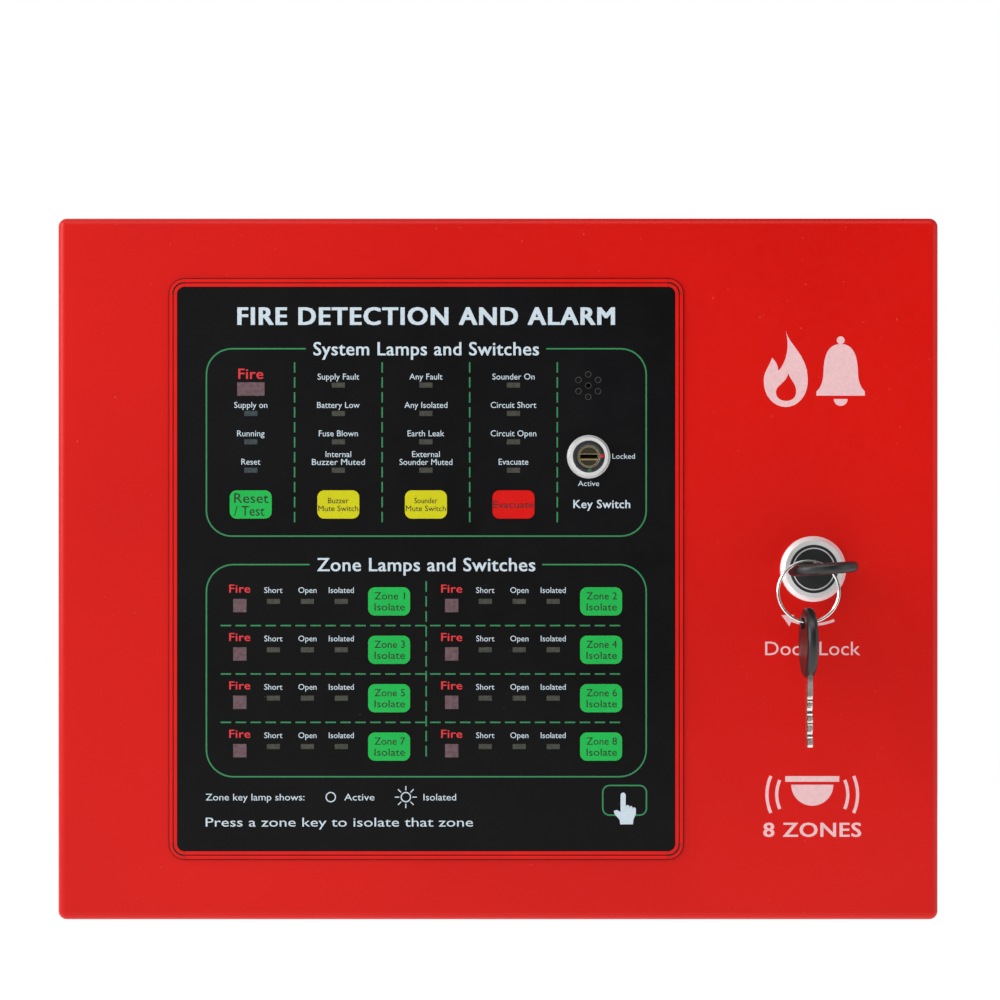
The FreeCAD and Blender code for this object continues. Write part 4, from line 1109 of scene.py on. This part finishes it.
FINISHES = {
    RED: ("back_box", "door_panel"),
    MEMBRANE: ("front_overlay",),
    KEY_GREEN: ("key_reset_test", *(f"key_zone_{n}" for n in range(1, 9))),
    KEY_YELLOW: ("key_buzzer_silence", "key_sounder_silence"),
    KEY_RED: ("key_evacuate",),
    FOAM: ("door_gasket",),
    ZINC: ("hinge_tabs", "hinge_pins", "door_hinge_brackets", "battery_bracket", "power_supply_case",
           "lock_nut", "keyswitch_nut", "cam_screw", "lock_cam"),
    BOARD: ("display_board", "main_board"),
    BLACK: ("tact_switches", "buzzer", "display_chips", "display_header", "keyswitch_contacts",
            "main_board_chips", "main_board_header", "lock_ring"),
    KEY_HEAD: ("door_key_bow", "spare_key_bow"),
    NICKEL: ("door_key_blade", "spare_key_blade"),
    SATIN: ("lock_body", "keyswitch_body"),
    DARK_BRASS: ("keyswitch_plug",),
    PLUG_BLACK: ("lock_plug",),
    BRASS: ("display_standoffs", "main_board_standoffs", "battery_terminals", "earth_stud"),
    TERMINAL: ("zone_terminals",),
    TERMINAL_GREY: ("power_supply_terminals", "mains_terminal_block"),
    CERAMIC: ("board_fuses",),
    BATTERY: ("batteries",),
    LAMP_RED: ("fire_lamps",),
    LAMP_YELLOW: ("fault_lamps",),
    LAMP_GREEN: ("status_lamps",),
}


def finish_cad_nodes():
    for material, names in FINISHES.items():
        for name in names:
            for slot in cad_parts[name].material_slots:
                slot.material = material


# Floor, light and camera

def make_floor():
    mesh = bpy.data.meshes.new("studio_floor")
    reach, drop = 6.0, -0.75
    corners = [(x * reach, y * reach, drop) for x, y in ((-1, -1), (1, -1), (1, 1), (-1, 1))]
    mesh.from_pydata(corners, [], [(0, 1, 2, 3)])
    floor = new_object("studio_floor", mesh)
    s = Shader("studio_floor")
    s.colour(s.ramp(s.noise(3.0), [(0.3, (0.90, 0.90, 0.90)), (0.7, (0.93, 0.93, 0.93))]))
    s.constant(Roughness=0.9, Emission_Color=(1.0, 1.0, 1.0, 1.0), Emission_Strength=0.62)
    mesh.materials.append(s.material)


def area_light(name, place, size, power):
    """A rectangular soft light aimed at the middle of the wall face."""
    source = bpy.data.lights.new(name, "AREA")
    source.shape = "RECTANGLE"
    source.size, source.size_y = size
    source.energy = power
    holder = new_object(name, source)
    holder.location = place
    holder.rotation_euler = (-Vector(place)).to_track_quat("-Z", "Y").to_euler()


def make_light():
    """White behind the object, a room that is brightest to the front left, and soft lights round it."""
    world = bpy.data.worlds.new("studio")
    bpy.context.scene.world = world
    world.use_nodes = True
    nodes, link = world.node_tree.nodes, world.node_tree.links.new
    seen = nodes["Background"]
    seen.inputs["Color"].default_value = (1.0, 1.0, 1.0, 1.0)
    seen.inputs["Strength"].default_value = 1.0
    split = nodes.new("ShaderNodeSeparateXYZ")
    link(nodes.new("ShaderNodeTexCoord").outputs["Generated"], split.inputs["Vector"])
    across = nodes.new("ShaderNodeMapRange")
    across.inputs["From Min"].default_value = -1.0
    link(split.outputs["X"], across.inputs["Value"])
    room = nodes.new("ShaderNodeValToRGB")
    levels = ((0.0, 0.8), (0.36, 1.1), (0.48, 0.45), (0.55, 0.05), (0.68, 0.04), (0.80, 0.4), (1.0, 0.6))
    fill_ramp(room, [(position, (level,) * 3) for position, level in levels])
    link(across.outputs["Result"], room.inputs["Fac"])
    lit = nodes.new("ShaderNodeBackground")
    lit.inputs["Strength"].default_value = 0.85
    link(room.outputs["Color"], lit.inputs["Color"])
    choose = nodes.new("ShaderNodeMixShader")
    link(nodes.new("ShaderNodeLightPath").outputs["Is Camera Ray"], choose.inputs["Fac"])
    link(lit.outputs["Background"], choose.inputs[1])
    link(seen.outputs["Background"], choose.inputs[2])
    link(choose.outputs["Shader"], nodes["World Output"].inputs["Surface"])
    area_light("left_softbox", (-1.3, -0.6, 0.5), (0.9, 1.2), 13.0)
    area_light("top_softbox", (0.1, -0.7, 1.3), (1.4, 0.8), 7.0)
    area_light("right_fill", (1.4, -0.6, 0.2), (0.8, 1.2), 2.6)


def make_camera():
    """On the panel's axis, with the picture shifted up as the panel sits low in it."""
    camera = bpy.data.cameras.new("camera")
    camera.lens = 75.0
    camera.sensor_width = 36.0
    camera.shift_y = 0.069
    camera.clip_end = 50.0
    holder = new_object("camera", camera)
    holder.location = (0.0008, DOOR_FACE * MM - 0.85, 0.0)
    holder.rotation_euler = (math.radians(90), 0, 0)
    bpy.context.scene.camera = holder


bpy.context.scene.view_settings.view_transform = "Standard"
make_camera()
make_light()
make_floor()
finish_cad_nodes()
draw_green_lines()
draw_border()
draw_legends()
draw_key_legends()
add_windows()
draw_door_print()
add_switch_details()
add_grille_rims()
split_ring()
screw_heads("main_board_screws", "main_board_pan_screws", "box", -1)
screw_heads("display_screws", "display_pan_screws", "door", 1)
populate_boards()
solder_joints()
chip_legs()
terminal_screws()
capacitor_cans()
relay_cases()
battery_details()
silkscreen()
